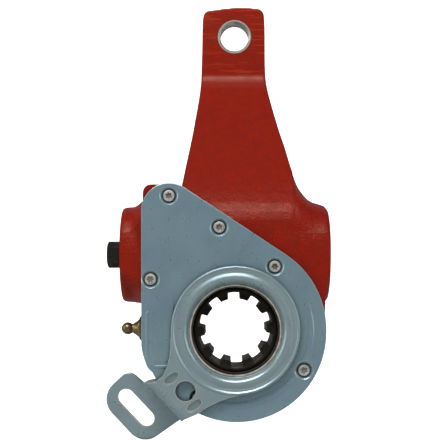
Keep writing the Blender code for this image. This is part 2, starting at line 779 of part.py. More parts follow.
def housing_blank():
    """The casting: barrel, round body, rack block, cover land and lever, faced flat at the front."""
    housing = barrel_blank()
    block = prism(block_outline(), "Y", HOUSING_FRONT_Y - 1.5 * STOCK, BLOCK_BACK_Y)
    bevelled(block, 1.0 * MM, 1, 60)
    land = prism(
        plate_outline(EDGE_INSET), "Y", HOUSING_FRONT_Y - 2 * STOCK, HOUSING_FRONT_Y + FLANGE_T
    )
    boss = rod(NIPPLE_BOSS_R, "X", NIPPLE_SEAT_X, -BODY_R + 6 * MM, (0, NIPPLE_Y, 0))
    join(housing, body_blank(), block, land, boss, shoulder_blank(), lever_blank())
    far = 100 * MM
    return cut(housing, box((-far, HOUSING_FRONT_Y - 20 * STOCK, -far), (far, HOUSING_FRONT_Y, far)))


def lever_housing(material):
    """The lever and gear housing in one casting, with every bore its inner pieces need."""
    housing = housing_blank()
    axis = (0, 0, WORM_AXIS_Z)
    over = 1.0 * MM
    wheel_pocket = turned(
        [
            (0, HOUSING_FRONT_Y - over),
            (POCKET_R, HOUSING_FRONT_Y - over),
            (POCKET_R, POCKET_BACK_Y),
            (WHEEL_HUB_R + RUN_GAP, POCKET_BACK_Y),
            (WHEEL_HUB_R + RUN_GAP, BACK_SEAL_FRONT_Y),
            (BACK_SEAL_R + SEAT_GAP, BACK_SEAL_FRONT_Y),
            (BACK_SEAL_R + SEAT_GAP, HOUSING_BACK_Y + over),
            (0, HOUSING_BACK_Y + over),
        ],
        "Y",
        segments=LARGE_SIDES,
    )
    worm_bores = turned(
        [
            (0, BARREL_LEFT_X - over),
            (CAP_R + SEAT_GAP, BARREL_LEFT_X - over),
            (CAP_R + SEAT_GAP, CAP_BACK_X + SEAT_GAP),
            (CLUTCH_CHAMBER_R, CAP_BACK_X + SEAT_GAP),
            (CLUTCH_CHAMBER_R, BEARING_FRONT_X - SEAT_GAP),
            (WORM_BORE_R, BEARING_FRONT_X - SEAT_GAP),
            (WORM_BORE_R, SEAT_FRONT_X),
            (SPRING_R + SPRING_WIRE_R + RUN_GAP, SEAT_FRONT_X),
            (SPRING_R + SPRING_WIRE_R + RUN_GAP, END_COVER_BACK_X - SEAT_GAP),
            (END_COVER_R + SEAT_GAP, END_COVER_BACK_X - SEAT_GAP),
            (END_COVER_R + SEAT_GAP, BARREL_RIGHT_X + over),
            (0, BARREL_RIGHT_X + over),
        ],
        "X",
        axis,
    )
    rack_slot = box(
        (RACK_LEFT_X - RUN_GAP, HOUSING_FRONT_Y - over, SLOT_BOTTOM_Z),
        (RACK_RIGHT_X + RUN_GAP, -PINION_R + PINION_MODULE + RUN_GAP, SLOT_TOP_Z),
    )
    peg_window = box(
        (RACK_RIGHT_X - over, HOUSING_FRONT_Y - over, -PEG_R - RACK_TRAVEL_DOWN - over),
        (-POCKET_R + 4 * MM, DISC_BACK_Y + RUN_GAP, PEG_R + 5 * MM),
    )
    pin_hole = rod(
        LOCK_PIN_R + SEAT_GAP,
        "X",
        BARREL_LEFT_X - over,
        CAP_BACK_X + over,
        (0, 0, WORM_AXIS_Z + LOCK_PIN_OFFSET),
        SMALL_SIDES,
    )
    nipple_place = (0, NIPPLE_Y, 0)
    nipple_end_x = NIPPLE_SEAT_X + 8.5 * MM
    nipple_hole = rod(
        NIPPLE_STEM_R + SEAT_GAP, "X", NIPPLE_SEAT_X - over, nipple_end_x, nipple_place, SMALL_SIDES
    )
    cut(housing, wheel_pocket, worm_bores, rack_slot, peg_window, pin_hole, nipple_hole)
    for _, x, z in screw_places():
        depth = HOUSING_FRONT_Y + SCREW_GRIP + 1.0 * MM
        cut(housing, rod(SCREW_R + SEAT_GAP, "Y", HOUSING_FRONT_Y - over, depth, (x, 0, z), SMALL_SIDES))
    bush_seat_r = BUSH_BORE_R + BUSH_WALL + SEAT_GAP
    eye = (0, 0, LEVER_LENGTH)
    cut(housing, rod(bush_seat_r, "Y", EYE_FRONT_Y - 4 * over, EYE_BACK_Y + 4 * over, eye))
    return finish(housing, "lever_housing", material)


def clevis_bush(material):
    """The bush pressed into the lever's eye, chamfered at both mouths."""
    front = EYE_FRONT_Y + 0.2 * MM
    back = EYE_BACK_Y - 0.2 * MM
    outer = BUSH_BORE_R + BUSH_WALL
    chamfer = 0.6 * MM
    bush = turned(
        [
            (BUSH_BORE_R + chamfer, front),
            (outer, front),
            (outer, back),
            (BUSH_BORE_R + chamfer, back),
            (BUSH_BORE_R, back - chamfer),
            (BUSH_BORE_R, front + chamfer),
        ],
        "Y",
        (0, 0, LEVER_LENGTH),
    )
    return finish(bush, "clevis_bush", material)


def cover_plate(material):
    """The pressed cover, with sunk screw seats, the hub hole and the raised rack pad."""
    plate = prism(plate_outline(0.0), "Y", PLATE_FRONT_Y, PLATE_BACK_Y)
    pad_left = RACK_LEFT_X - 2.6 * MM
    pad_top = BLOCK_BOTTOM_Z + 34 * MM
    pad = prism(
        [
            (pad_left, pad_top),
            (pad_left, SLOT_BOTTOM_Z + 1.0 * MM),
            (pad_left + 3.0 * MM, SLOT_BOTTOM_Z - 3.6 * MM),
            (RACK_RIGHT_X, SLOT_BOTTOM_Z - 3.6 * MM),
            (RACK_RIGHT_X, pad_top),
        ],
        "Y",
        PLATE_FRONT_Y - PAD_RISE,
        PLATE_BACK_Y - PLATE_T / 2,
    )
    join(plate, pad)
    over = 1.0 * MM
    cut(plate, rod(PLATE_HOLE_R, "Y", PLATE_FRONT_Y - over, PLATE_BACK_Y + over, segments=LARGE_SIDES))
    for _, x, z in screw_places():
        sink = turned(
            [
                (0, PLATE_FRONT_Y - over),
                (SCREW_SINK_R, PLATE_FRONT_Y - over),
                (SCREW_SINK_R, PLATE_FRONT_Y + 0.3 * MM),
                (SCREW_R + 0.5 * MM, PLATE_BACK_Y - 0.2 * MM),
                (SCREW_R + 0.5 * MM, PLATE_BACK_Y + over),
                (0, PLATE_BACK_Y + over),
            ],
            "Y",
            (x, 0, z),
            SMALL_SIDES,
        )
        cut(plate, sink)
    return finish(plate, "cover_plate", material)


def cover_gasket(material):
    """The gasket between cover and casting, open over the wheel pocket and the rack slot."""
    gasket = prism(plate_outline(EDGE_INSET), "Y", GASKET_FRONT_Y, GASKET_FRONT_Y + GASKET_T)
    over = 1.0 * MM
    front = GASKET_FRONT_Y - over
    back = GASKET_FRONT_Y + GASKET_T + over
    slot = box((RACK_LEFT_X - RUN_GAP, front, SLOT_BOTTOM_Z), (RACK_RIGHT_X + 2 * MM, back, SLOT_TOP_Z))
    cut(gasket, rod(POCKET_R, "Y", front, back, segments=LARGE_SIDES), slot)
    for _, x, z in screw_places():
        cut(gasket, rod(SCREW_R + 0.4 * MM, "Y", front, back, (x, 0, z), SMALL_SIDES))
    return finish(gasket, "cover_gasket", material)


def cover_screw(name, x, z, material):
    """A countersunk screw with a six-lobed socket, cut here as a plain round one."""
    head_y = PLATE_FRONT_Y + 0.1 * MM
    cone_y = PLATE_FRONT_Y + 0.9 * MM
    socket_r = SCREW_HEAD_R * 0.5
    screw = turned(
        [
            (0, head_y + 1.2 * MM),
            (socket_r, head_y + 1.2 * MM),
            (socket_r, head_y),
            (SCREW_HEAD_R - 0.4 * MM, head_y),
            (SCREW_HEAD_R, head_y + 0.3 * MM),
            (SCREW_R, cone_y + 0.9 * MM),
            (SCREW_R, HOUSING_FRONT_Y + SCREW_GRIP),
            (0, HOUSING_FRONT_Y + SCREW_GRIP),
        ],
        "Y",
        (x, 0, z),
        SMALL_SIDES,
    )
    return finish(screw, name, material)


def tail_point(reach, along):
    """A point of the control arm's tail, from its reach along the tail and its place across it."""
    out = (math.cos(TAIL_ANGLE), math.sin(TAIL_ANGLE))
    across = (-out[1], out[0])
    return (out[0] * reach + across[0] * along, out[1] * reach + across[1] * along)


def joggled_sheet():
    """The bent sheet, from the ring plane back to the foot plane, before it is cut to its outline."""
    foot_back_y = FOOT_FRONT_Y + SHEET_T
    bend = SHEET_T + 0.8 * MM
    inner_bend = 0.8 * MM
    wall_front = TAIL_REACH - SHEET_T
    tail_front_y = SHEET_FRONT_Y + RIM_RISE
    profile = [(-RING_R - 5 * MM, tail_front_y)]
    profile += arc(TAIL_REACH - bend, tail_front_y + bend, bend, -90, 0, 5)
    profile += arc(TAIL_REACH + inner_bend, FOOT_FRONT_Y - inner_bend, inner_bend, 180, 90, 3)
    profile += [(FOOT_REACH + 5 * MM, FOOT_FRONT_Y), (FOOT_REACH + 5 * MM, foot_back_y)]
    profile += arc(wall_front + bend, foot_back_y - bend, bend, 90, 180, 5)
    profile += arc(wall_front - inner_bend, SHEET_BACK_Y + inner_bend, inner_bend, 0, -90, 3)
    profile.append((-RING_R - 5 * MM, SHEET_BACK_Y))
    sheet = prism(profile, "Z", -60 * MM, 60 * MM)
    sheet.data.transform(Matrix.Rotation(-TAIL_ANGLE, 4, "Y"))
    return sheet


def control_arm(material):
    """The pressed control arm: a ring with a raised rim, a joggled tail and a slotted foot."""
    corner = FOOT_CORNER_R
    outline = [
        (-RING_R * 1.004, -4.0 * MM),
        (-RING_R * 1.015, -12.0 * MM),
        (-RING_R * 1.06, -18.0 * MM),
        (-RING_R * 1.13, -22.6 * MM),
        (-RING_R * 1.23, -25.2 * MM),
        tail_point(TAIL_REACH + 0.8 * MM, TAIL_LOW_V),
        tail_point(TAIL_REACH + 2.6 * MM, TAIL_LOW_V - 0.3 * MM),
        tail_point(TAIL_REACH + 3.3 * MM, FOOT_LOW_V + 4.0 * MM),
        tail_point(TAIL_REACH + 4.6 * MM, FOOT_LOW_V + 1.3 * MM),
        tail_point(TAIL_REACH + 7.0 * MM, FOOT_LOW_V + 0.2 * MM),
    ]
    foot_end = arc(FOOT_REACH - corner, FOOT_LOW_V + corner, corner, -90, 0, 6)
    foot_end += arc(FOOT_REACH - corner, SLOT_HIGH_V, corner, 0, 75, 5)
    outline += [tail_point(reach, along) for reach, along in foot_end]
    outline += [
        tail_point(TAIL_REACH + 1.0 * MM, TAIL_HIGH_V),
        tail_point(TAIL_REACH - 2.0 * MM, TAIL_HIGH_V),
        (-RING_R * 0.60, -41.6 * MM),
        (-RING_R * 0.44, -38.2 * MM),
        (-RING_R * 0.28, -35.6 * MM),
        (-RING_R * 0.10, -33.5 * MM),
    ]
    outline += arc(0, 0, RING_R, -84, 182, 27)
    sheet = joggled_sheet()
    over = 1.0 * MM
    combine(sheet, prism(outline, "Y", SHEET_FRONT_Y - over, FOOT_FRONT_Y + SHEET_T + over), "INTERSECT")
    rim = rod(RING_R - RIM_INSET, "Y", SHEET_FRONT_Y, SHEET_BACK_Y - over, segments=LARGE_SIDES)
    join(sheet, rim)
    slot = arc(SLOT_REACH, SLOT_HIGH_V, SLOT_R, 0, 180, 7)
    slot += arc(SLOT_REACH, SLOT_LOW_V, SLOT_R, 180, 360, 7)
    slot = [tail_point(reach, along) for reach, along in slot]
    lip_back_y = SHEET_FRONT_Y + RING_LIP_R - RING_BORE_R
    bore = turned(
        [
            (0, SHEET_FRONT_Y - over),
            (RING_LIP_R + over, SHEET_FRONT_Y - over),
            (RING_BORE_R, lip_back_y),
            (RING_BORE_R, SHEET_BACK_Y + over),
            (0, SHEET_BACK_Y + over),
        ],
        "Y",
        segments=LARGE_SIDES,
    )
    valley = turned(
        [
            (VALLEY_INNER_R - over, SHEET_FRONT_Y - over),
            (VALLEY_OUTER_R + 0.2 * MM, SHEET_FRONT_Y - over),
            (VALLEY_OUTER_R, SHEET_FRONT_Y + VALLEY_DEPTH),
            (VALLEY_INNER_R + 0.8 * MM, SHEET_FRONT_Y + VALLEY_DEPTH),
        ],
        "Y",
        segments=LARGE_SIDES,
    )
    access_place = (ACCESS_HOLE_X, 0, ACCESS_HOLE_Z)
    access = rod(ACCESS_HOLE_R, "Y", SHEET_FRONT_Y - over, SHEET_BACK_Y + over, access_place, 20)
    slot_cutter = prism(slot, "Y", FOOT_FRONT_Y - over, FOOT_FRONT_Y + SHEET_T + over)
    cut(sheet, slot_cutter, bore, valley, access)
    return finish(sheet, "control_arm", material)


def control_hub(material):
    """The tube that carries the control arm's turn through the cover to the notched disc."""
    hub = turned(
        [
            (HUB_BORE_R, SHEET_FRONT_Y + RING_LIP_R - RING_BORE_R + 0.4 * MM),
            (RING_BORE_R - SEAT_GAP, SHEET_FRONT_Y + RING_LIP_R - RING_BORE_R + 0.4 * MM),
            (RING_BORE_R - SEAT_GAP, SHEET_BACK_Y + SEAT_GAP),
            (HUB_R, SHEET_BACK_Y + SEAT_GAP),
            (HUB_R, DISC_FRONT_Y - SEAT_GAP),
            (HUB_R - 1.2 * MM, DISC_FRONT_Y - SEAT_GAP),
            (HUB_R - 1.2 * MM, DISC_BACK_Y),
            (HUB_BORE_R, DISC_BACK_Y),
        ],
        "Y",
        segments=LARGE_SIDES,
    )
    return finish(hub, "control_hub", material)


def control_disc(material):
    """The disc on the hub's inner end, with the notch that works the rack's peg."""
    disc = ring(HUB_R - 1.2 * MM + SEAT_GAP, DISC_R, "Y", DISC_FRONT_Y, DISC_BACK_Y, segments=LARGE_SIDES)
    half = PEG_R + PEG_CLEARANCE
    over = 1.0 * MM
    bottom = -PEG_REACH
    notch = arc(bottom, 0, half, -90, 90, 8)
    notch += [(-DISC_R - over, half), (-DISC_R - over, -half)]
    cut(disc, prism(notch, "Y", DISC_FRONT_Y - over, DISC_BACK_Y + over))
    return finish(disc, "control_disc", material)


def rack(material):
    """The rack: teeth towards the clutch gear and a round peg in the control disc's notch."""
    pitch = math.pi * PINION_MODULE
    slope = math.tan(PRESSURE_ANGLE)
    half = (pitch / 2 - PINION_BACKLASH) / 2
    tip_y = -PINION_R + PINION_MODULE * 0.9
    outline = [(RACK_FRONT_Y, RACK_TOP_Z), (RACK_FRONT_Y, RACK_BOTTOM_Z), (RACK_BACK_Y, RACK_BOTTOM_Z)]
    # A gap of the rack faces a tooth of the gear at the worm axis
    first = math.ceil((RACK_BOTTOM_Z + 26 * MM - WORM_AXIS_Z) / pitch) + 0.5
    tooth = first
    while WORM_AXIS_Z + (tooth + 0.5) * pitch < RACK_TOP_Z:
        middle = WORM_AXIS_Z + tooth * pitch
        root_half = half + (-PINION_R - RACK_BACK_Y) * slope
        tip_half = half - (tip_y + PINION_R) * slope
        outline.append((RACK_BACK_Y, middle - root_half))
        outline.append((tip_y, middle - tip_half))
        outline.append((tip_y, middle + tip_half))
        outline.append((RACK_BACK_Y, middle + root_half))
        tooth += 1
    outline.append((RACK_BACK_Y, RACK_TOP_Z))
    bar = prism(outline, "X", RACK_LEFT_X, RACK_RIGHT_X)
    peg_back_y = DISC_BACK_Y - 0.2 * MM
    neck = box((RACK_RIGHT_X - 0.5 * MM, RACK_FRONT_Y, -PEG_R * 0.5), (-PEG_REACH, peg_back_y, PEG_R * 0.5))
    peg = rod(PEG_R, "Y", RACK_FRONT_Y, peg_back_y, (-PEG_REACH, 0, 0), SMALL_SIDES)
    join(bar, neck, peg)
    return finish(bar, "rack", material)


def clutch_gear(material):
    """The gear that the rack turns, with the sleeve that its one-way spring grips."""
    axis = Vector((0, 0, WORM_AXIS_Z))
    front = RACK_LEFT_X + 0.3 * MM
    back = RACK_RIGHT_X - 0.3 * MM
    bm = bmesh.new()
    loops = []
    for x in (front, back):
        loop = []
        for angle, radius in involute_outline(PINION_TEETH, PINION_MODULE, PINION_BACKLASH):
            # A tooth points straight at the rack
            around = math.pi + angle
            point = Vector((x, radius * math.cos(around), radius * math.sin(around)))
            loop.append(bm.verts.new(point + axis))
        loops.append(loop)
    for index in range(len(loops[0])):
        beside = (index + 1) % len(loops[0])
        bm.faces.new([loops[0][index], loops[0][beside], loops[1][beside], loops[1][index]])
    bm.faces.new(loops[0])
    bm.faces.new(loops[1])
    gear = object_from(bm, "gear")
    join(gear, rod(SLEEVE_R, "X", front - SLEEVE_LENGTH, front + 1 * MM, axis))
    cut(gear, rod(SHAFT_R + RUN_GAP, "X", front - SLEEVE_LENGTH - 1 * MM, back + 1 * MM, axis))
    return finish(gear, "clutch_gear", material)


def turned_parts(steel, zinc, rubber, brass, paint):
    """The remaining round pieces along the worm axis and around the wheel."""
    axis = (0, 0, WORM_AXIS_Z)
    made = {}
    clutch = turned(
        [
            (SHAFT_R + SEAT_GAP, CLUTCH_RING_FRONT_X),
            (CLUTCH_RING_R - 2.0 * MM, CLUTCH_RING_FRONT_X),
            (CLUTCH_RING_R, CLUTCH_RING_FRONT_X + 2.2 * MM),
            (CLUTCH_RING_R, CLUTCH_RING_FRONT_X + CLUTCH_RING_W),
            (SHAFT_R + SEAT_GAP, CLUTCH_RING_FRONT_X + CLUTCH_RING_W),
        ],
        "X",
        axis,
    )
    made["clutch_ring"] = finish(clutch, "clutch_ring", steel)
    bearing = ring(
        BEARING_R + RUN_GAP, WORM_BORE_R - SEAT_GAP, "X", BEARING_FRONT_X, BEARING_BACK_X, axis
    )
    made["worm_bearing"] = finish(bearing, "worm_bearing", steel)
    sleeve_start = RACK_LEFT_X + 0.3 * MM - SLEEVE_LENGTH
    wrap_r = SLEEVE_R + RUN_GAP + WRAP_WIRE_R
    wrap = coil(wrap_r, WRAP_WIRE_R, WRAP_TURNS, "X", sleeve_start, RACK_LEFT_X, axis, 4, 14)
    made["one_way_spring"] = finish(wrap, "one_way_spring", steel)
    seat = ring(
        TAIL_R + RUN_GAP, SPRING_R + 1.0 * MM, "X", SEAT_FRONT_X, SPRING_START_X - SEAT_GAP, axis
    )
    made["spring_seat"] = finish(seat, "spring_seat", steel)
    spring_end = END_COVER_BACK_X - SEAT_GAP
    spring = coil(SPRING_R, SPRING_WIRE_R, SPRING_TURNS, "X", SPRING_START_X, spring_end, axis, 5, 14)
    made["pressure_spring"] = finish(spring, "pressure_spring", steel)
    cover = turned(
        [
            (0, END_COVER_BACK_X + 2.4 * MM),
            (TAIL_R + RUN_GAP, END_COVER_BACK_X + 2.4 * MM),
            (TAIL_R + RUN_GAP, END_COVER_BACK_X),
            (END_COVER_R, END_COVER_BACK_X),
            (END_COVER_R, END_COVER_FRONT_X - 0.6 * MM),
            (END_COVER_R - 0.6 * MM, END_COVER_FRONT_X),
            (0, END_COVER_FRONT_X),
        ],
        "X",
        axis,
    )
    made["spring_end_cover"] = finish(cover, "spring_end_cover", paint)
    shaft_seal_front_x = CAP_FRONT_X + 2.4 * MM
    shaft_seal_back_x = shaft_seal_front_x + 2.4 * MM
    cap = turned(
        [
            (SHAFT_R + RUN_GAP, CAP_FRONT_X),
            (CAP_R - 0.5 * MM, CAP_FRONT_X),
            (CAP_R, CAP_FRONT_X + 0.5 * MM),
            (CAP_R, CAP_BACK_X),
            (SHAFT_R + RUN_GAP, CAP_BACK_X),
            (SHAFT_R + RUN_GAP, shaft_seal_back_x + SEAT_GAP),
            (SHAFT_R + 2.0 * MM, shaft_seal_back_x + SEAT_GAP),
            (SHAFT_R + 2.0 * MM, shaft_seal_front_x - SEAT_GAP),
            (SHAFT_R + RUN_GAP, shaft_seal_front_x - SEAT_GAP),
        ],
        "X",
        axis,
    )
    for side in (-1, 1):
        place = (0, side * DIMPLE_OFFSET, WORM_AXIS_Z)
        cut(cap, rod(DIMPLE_R, "X", CAP_FRONT_X - 1 * MM, CAP_FRONT_X + DIMPLE_DEPTH, place, SMALL_SIDES))
    pin_place = (0, 0, WORM_AXIS_Z + LOCK_PIN_OFFSET)
    pin_hole_r = LOCK_PIN_R + SEAT_GAP
    cut(cap, rod(pin_hole_r, "X", CAP_FRONT_X - 1 * MM, CAP_BACK_X + 1 * MM, pin_place, SMALL_SIDES))
    made["worm_cap"] = finish(cap, "worm_cap", zinc)
    pin = turned(
        [
            (0, CAP_FRONT_X - 0.2 * MM),
            (LOCK_PIN_R - 0.5 * MM, CAP_FRONT_X - 0.2 * MM),
            (LOCK_PIN_R, CAP_FRONT_X + 0.3 * MM),
            (LOCK_PIN_R, CAP_BACK_X - 0.4 * MM),
            (0, CAP_BACK_X - 0.4 * MM),
        ],
        "X",
        pin_place,
        SMALL_SIDES,
    )
    made["cap_lock_pin"] = finish(pin, "cap_lock_pin", steel)
    shaft_seal = ring(
        SHAFT_R + SEAT_GAP, SHAFT_R + 1.8 * MM, "X", shaft_seal_front_x, shaft_seal_back_x, axis
    )
    made["shaft_seal"] = finish(shaft_seal, "shaft_seal", rubber)
    back_seal = ring(
        WHEEL_HUB_R + RUN_GAP,
        BACK_SEAL_R,
        "Y",
        BACK_SEAL_FRONT_Y + SEAT_GAP,
        WHEEL_BACK_Y - 0.3 * MM,
        segments=LARGE_SIDES,
    )
    made["back_seal"] = finish(back_seal, "back_seal", rubber)
    front_seal = ring(
        HUB_R + RUN_GAP,
        PLATE_HOLE_R - SEAT_GAP,
        "Y",
        PLATE_FRONT_Y + SEAT_GAP,
        PLATE_BACK_Y - SEAT_GAP,
        segments=LARGE_SIDES,
    )
    made["front_seal"] = finish(front_seal, "front_seal", rubber)
    thrust = ring(
        WHEEL_HUB_R + RUN_GAP,
        POCKET_R - RUN_GAP,
        "Y",
        DISC_BACK_Y + RUN_GAP,
        WHEEL_FACE_FRONT_Y - RUN_GAP,
        segments=LARGE_SIDES,
    )
    made["thrust_ring"] = finish(thrust, "thrust_ring", steel)
    made["grease_nipple"] = grease_nipple(brass)
    return made


def grease_nipple(material):
    """A hexagon nipple with a coned neck and a round head, screwed into its boss."""
    centre = (0, NIPPLE_Y, 0)
    seat = NIPPLE_SEAT_X - SEAT_GAP
    hex_front = seat - NIPPLE_HEX_W
    tip = seat - NIPPLE_LENGTH
    ball = tip + NIPPLE_BALL_R
    profile = [(0, NIPPLE_SEAT_X + 8.0 * MM), (NIPPLE_STEM_R, NIPPLE_SEAT_X + 8.0 * MM)]
    profile += [(NIPPLE_STEM_R, hex_front + 0.4 * MM), (NIPPLE_FLATS * 0.42, hex_front + 0.4 * MM)]
    profile += [(NIPPLE_FLATS * 0.42, hex_front - 0.6 * MM), (NIPPLE_NECK_R + 0.5 * MM, hex_front - 2.6 * MM)]
    profile += [(NIPPLE_NECK_R, ball + NIPPLE_BALL_R * 0.85)]
    for angle in (45, 0, -50):
        around = math.radians(angle)
        profile.append((NIPPLE_BALL_R * math.cos(around), ball + NIPPLE_BALL_R * math.sin(around)))
    profile += [(NIPPLE_BALL_R * 0.4, tip), (0, tip)]
    body = turned(profile, "X", centre, SMALL_SIDES)
    hexagon = turned(
        [
            (0, hex_front),
            (NIPPLE_FLATS / math.sqrt(3) - 0.5 * MM, hex_front),
            (NIPPLE_FLATS / math.sqrt(3), hex_front + 0.5 * MM),
            (NIPPLE_FLATS / math.sqrt(3), seat),
            (0, seat),
        ],
        "X",
        centre,
        6,
        math.pi / 2,
    )
    join(body, hexagon)
    return finish(body, "grease_nipple", material)


def rack_spring(material):
    """The light spring that pushes the rack down from the top of its slot."""
    middle_y = (RACK_FRONT_Y + RACK_BACK_Y) / 2
    spring = coil(
        RACK_SPRING_R,
        RACK_SPRING_WIRE_R,
        RACK_SPRING_TURNS,
        "Z",
        RACK_TOP_Z + SEAT_GAP,
        SLOT_TOP_Z - SEAT_GAP,
        (RACK_MID_X, middle_y, 0),
        4,
        8,
    )
    return finish(spring, "rack_spring", material)


def pivot(name, location, pieces):
    """An empty on a joint's axis that carries the pieces which move with it."""
    empty = bpy.data.objects.new(name, None)
    empty.empty_display_size = 10 * MM
    empty.location = location
    bpy.context.scene.collection.objects.link(empty)
    for piece in pieces:
        piece.parent = empty
        piece.matrix_parent_inverse = Matrix.Translation(-Vector(location))


def main():
    clear_scene()
    paint = make_material("red_paint", (0.31, 0.012, 0.006), 0.42, 0.0)
    zinc = make_material("blue_zinc", (0.32, 0.40, 0.44), 0.38, 0.9)
    black = make_material("black_steel", (0.03, 0.028, 0.022), 0.5, 0.8)
    steel = make_material("bright_steel", (0.50, 0.48, 0.42), 0.35, 1.0)
    brass = make_material("yellow_zinc", (0.35, 0.27, 0.10), 0.35, 0.9)
    rubber = make_material("black_rubber", (0.02, 0.02, 0.02), 0.75, 0.0)

    lever_housing(paint)
    clevis_bush(steel)
    cover_plate(zinc)
    cover_gasket(rubber)
    for name, x, z in screw_places():
        cover_screw(name, x, z, steel)
    made = turned_parts(steel, zinc, rubber, brass, paint)
    wheel = worm_wheel(black)
    shaft = worm_shaft(black)
    arm_pieces = [control_arm(zinc), control_hub(zinc), control_disc(steel)]
    rack_bar = rack(steel)
    rack_spring(steel)
    gear = clutch_gear(steel)

    worm_place = (0, 0, WORM_AXIS_Z)
    pivot("wheel_axis", (0, 0, 0), [wheel])
    pivot("worm_axis", worm_place, [shaft, made["clutch_ring"]])
    pivot("control_axis", (0, 0, 0), arm_pieces)
    pivot("rack_guide", (RACK_MID_X, 0, 0), [rack_bar])
    pivot("clutch_axis", worm_place, [gear, made["one_way_spring"]])


main()
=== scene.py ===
"""Looks for the brake slack adjuster: refined pieces, procedural materials, stage and camera.

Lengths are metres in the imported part's frame: X along the worm, Y along the camshaft, Z up.
"""

import math

import bmesh
import bpy
from bpy.props import FloatProperty, FloatVectorProperty, IntProperty, PointerProperty
from mathutils import Matrix, Vector, geometry


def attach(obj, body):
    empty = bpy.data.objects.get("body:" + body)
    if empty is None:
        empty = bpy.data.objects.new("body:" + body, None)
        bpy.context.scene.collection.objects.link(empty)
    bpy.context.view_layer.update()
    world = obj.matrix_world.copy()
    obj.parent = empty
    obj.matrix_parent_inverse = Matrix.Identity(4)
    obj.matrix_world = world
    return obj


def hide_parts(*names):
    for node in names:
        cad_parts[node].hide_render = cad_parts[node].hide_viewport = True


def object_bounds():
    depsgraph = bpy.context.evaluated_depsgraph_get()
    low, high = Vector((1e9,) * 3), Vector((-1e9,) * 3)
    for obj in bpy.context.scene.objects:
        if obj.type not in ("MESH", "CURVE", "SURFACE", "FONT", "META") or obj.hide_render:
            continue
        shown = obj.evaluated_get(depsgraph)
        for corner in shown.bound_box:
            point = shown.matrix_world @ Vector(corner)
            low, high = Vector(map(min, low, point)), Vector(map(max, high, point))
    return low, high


bl_info = {
    "name": "Slack Adjuster Looks",
    "version": (1, 0, 0),
    "blender": (4, 5, 0),
    "location": "View3D > Sidebar > Adjuster",
    "description": "Builds the visible pieces, materials and studio of a brake slack adjuster",
    "category": "Object",
}

MM = 0.001

# Worm, wheel and the shaft's hexagon
WORM_Z = 38.5 * MM
WORM_PITCH_R = 9.75 * MM
WORM_TIP_R = 12.125 * MM
WHEEL_TEETH = 23
MODULE = 2.5 * MM
PRESSURE_ANGLE = math.radians(20)
TOOTH_PLAY = 0.5 * MM
WHEEL_PITCH_R = WHEEL_TEETH * MODULE / 2
HEXAGON_ACROSS = 12.0 * MM
CAP_PIN_Z = WORM_Z + 17.2 * MM

# Spline of the camshaft
SPLINE_SLOTS = 10
SPLINE_MINOR_R = 15.75 * MM
SPLINE_MAJOR_R = 19.05 * MM
SPLINE_HALF_SLOT = 3.0 * MM
SPLINE_TURN = math.radians(92.5)

# Casting
FRONT_Y = -22.4 * MM
FACING = 0.6 * MM
BACK_Y = 22.0 * MM
BODY_R = 40.4 * MM
BARREL_R = 24.7 * MM
BARREL_LEFT_X = -58.4 * MM
BARREL_RIGHT_X = 48.0 * MM
BLOCK_LEFT_X = -46.6 * MM

# Eye and nipple
EYE_Z = 165.0 * MM
EYE_FRONT_Y = 51.4 * MM
EYE_BACK_Y = 62.4 * MM
NIPPLE_Y = -0.9 * MM
NIPPLE_ACROSS = 11.0 * MM

# Cover plate and control arm
PLATE_FRONT_Y = -25.0 * MM
PLATE_BACK_Y = -23.0 * MM
PLATE_R = 45.5 * MM
PLATE_SWELL = 0.6 * MM
PLATE_CORNER_R = 46.65 * MM
PLATE_LEFT_X = -47.2 * MM
LOBE_R = 13.9 * MM
LOBE_X = -33.3 * MM
LOBE_Z = 59.9 * MM
SHEET_FRONT_Y = -29.5 * MM
HUB_BORE_R = 21.9 * MM
TAIL_ANGLE = math.radians(223.2)

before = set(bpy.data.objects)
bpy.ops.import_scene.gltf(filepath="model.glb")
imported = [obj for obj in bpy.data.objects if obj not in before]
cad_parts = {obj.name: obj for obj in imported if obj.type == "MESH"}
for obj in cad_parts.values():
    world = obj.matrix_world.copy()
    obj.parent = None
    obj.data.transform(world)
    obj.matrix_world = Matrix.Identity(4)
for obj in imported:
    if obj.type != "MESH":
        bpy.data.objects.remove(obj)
CAD_BOX = [list(corner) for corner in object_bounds()]


class FinishSettings(bpy.types.PropertyGroup):
    """Colours and surface detail of the finishes."""

    paint: FloatVectorProperty(
        name="Paint",
        description="Colour of the paint",
        size=3,
        subtype="COLOR",
        default=(0.245, 0.0095, 0.0035),
    )
    zinc: FloatVectorProperty(
        name="Zinc",
        description="Colour of the bluish plating",
        size=3,
        subtype="COLOR",
        default=(0.25, 0.38, 0.44),
    )
    grain_size: FloatProperty(
        name="Grain size", description="Size of the casting's grains", default=0.8 * MM, unit="LENGTH"
    )
    grain_depth: FloatProperty(
        name="Grain depth", description="Height of the casting's grains", default=0.22 * MM, unit="LENGTH"
    )
    # Paler paint over edges: partly wear, partly a painted highlight along them
    wear_and_highlight: FloatProperty(
        name="Edge wear", description="How far the paint is worn off edges", default=0.08, subtype="FACTOR"
    )


class ShapeSettings(bpy.types.PropertyGroup):
    """How finely the pieces are built."""

    voxel: FloatProperty(
        name="Cast detail", description="Voxel size of the casting's skin", default=0.62 * MM, unit="LENGTH"
    )
    fillet_passes: IntProperty(
        name="Fillet passes", description="Smoothing passes that round the casting", default=9
    )


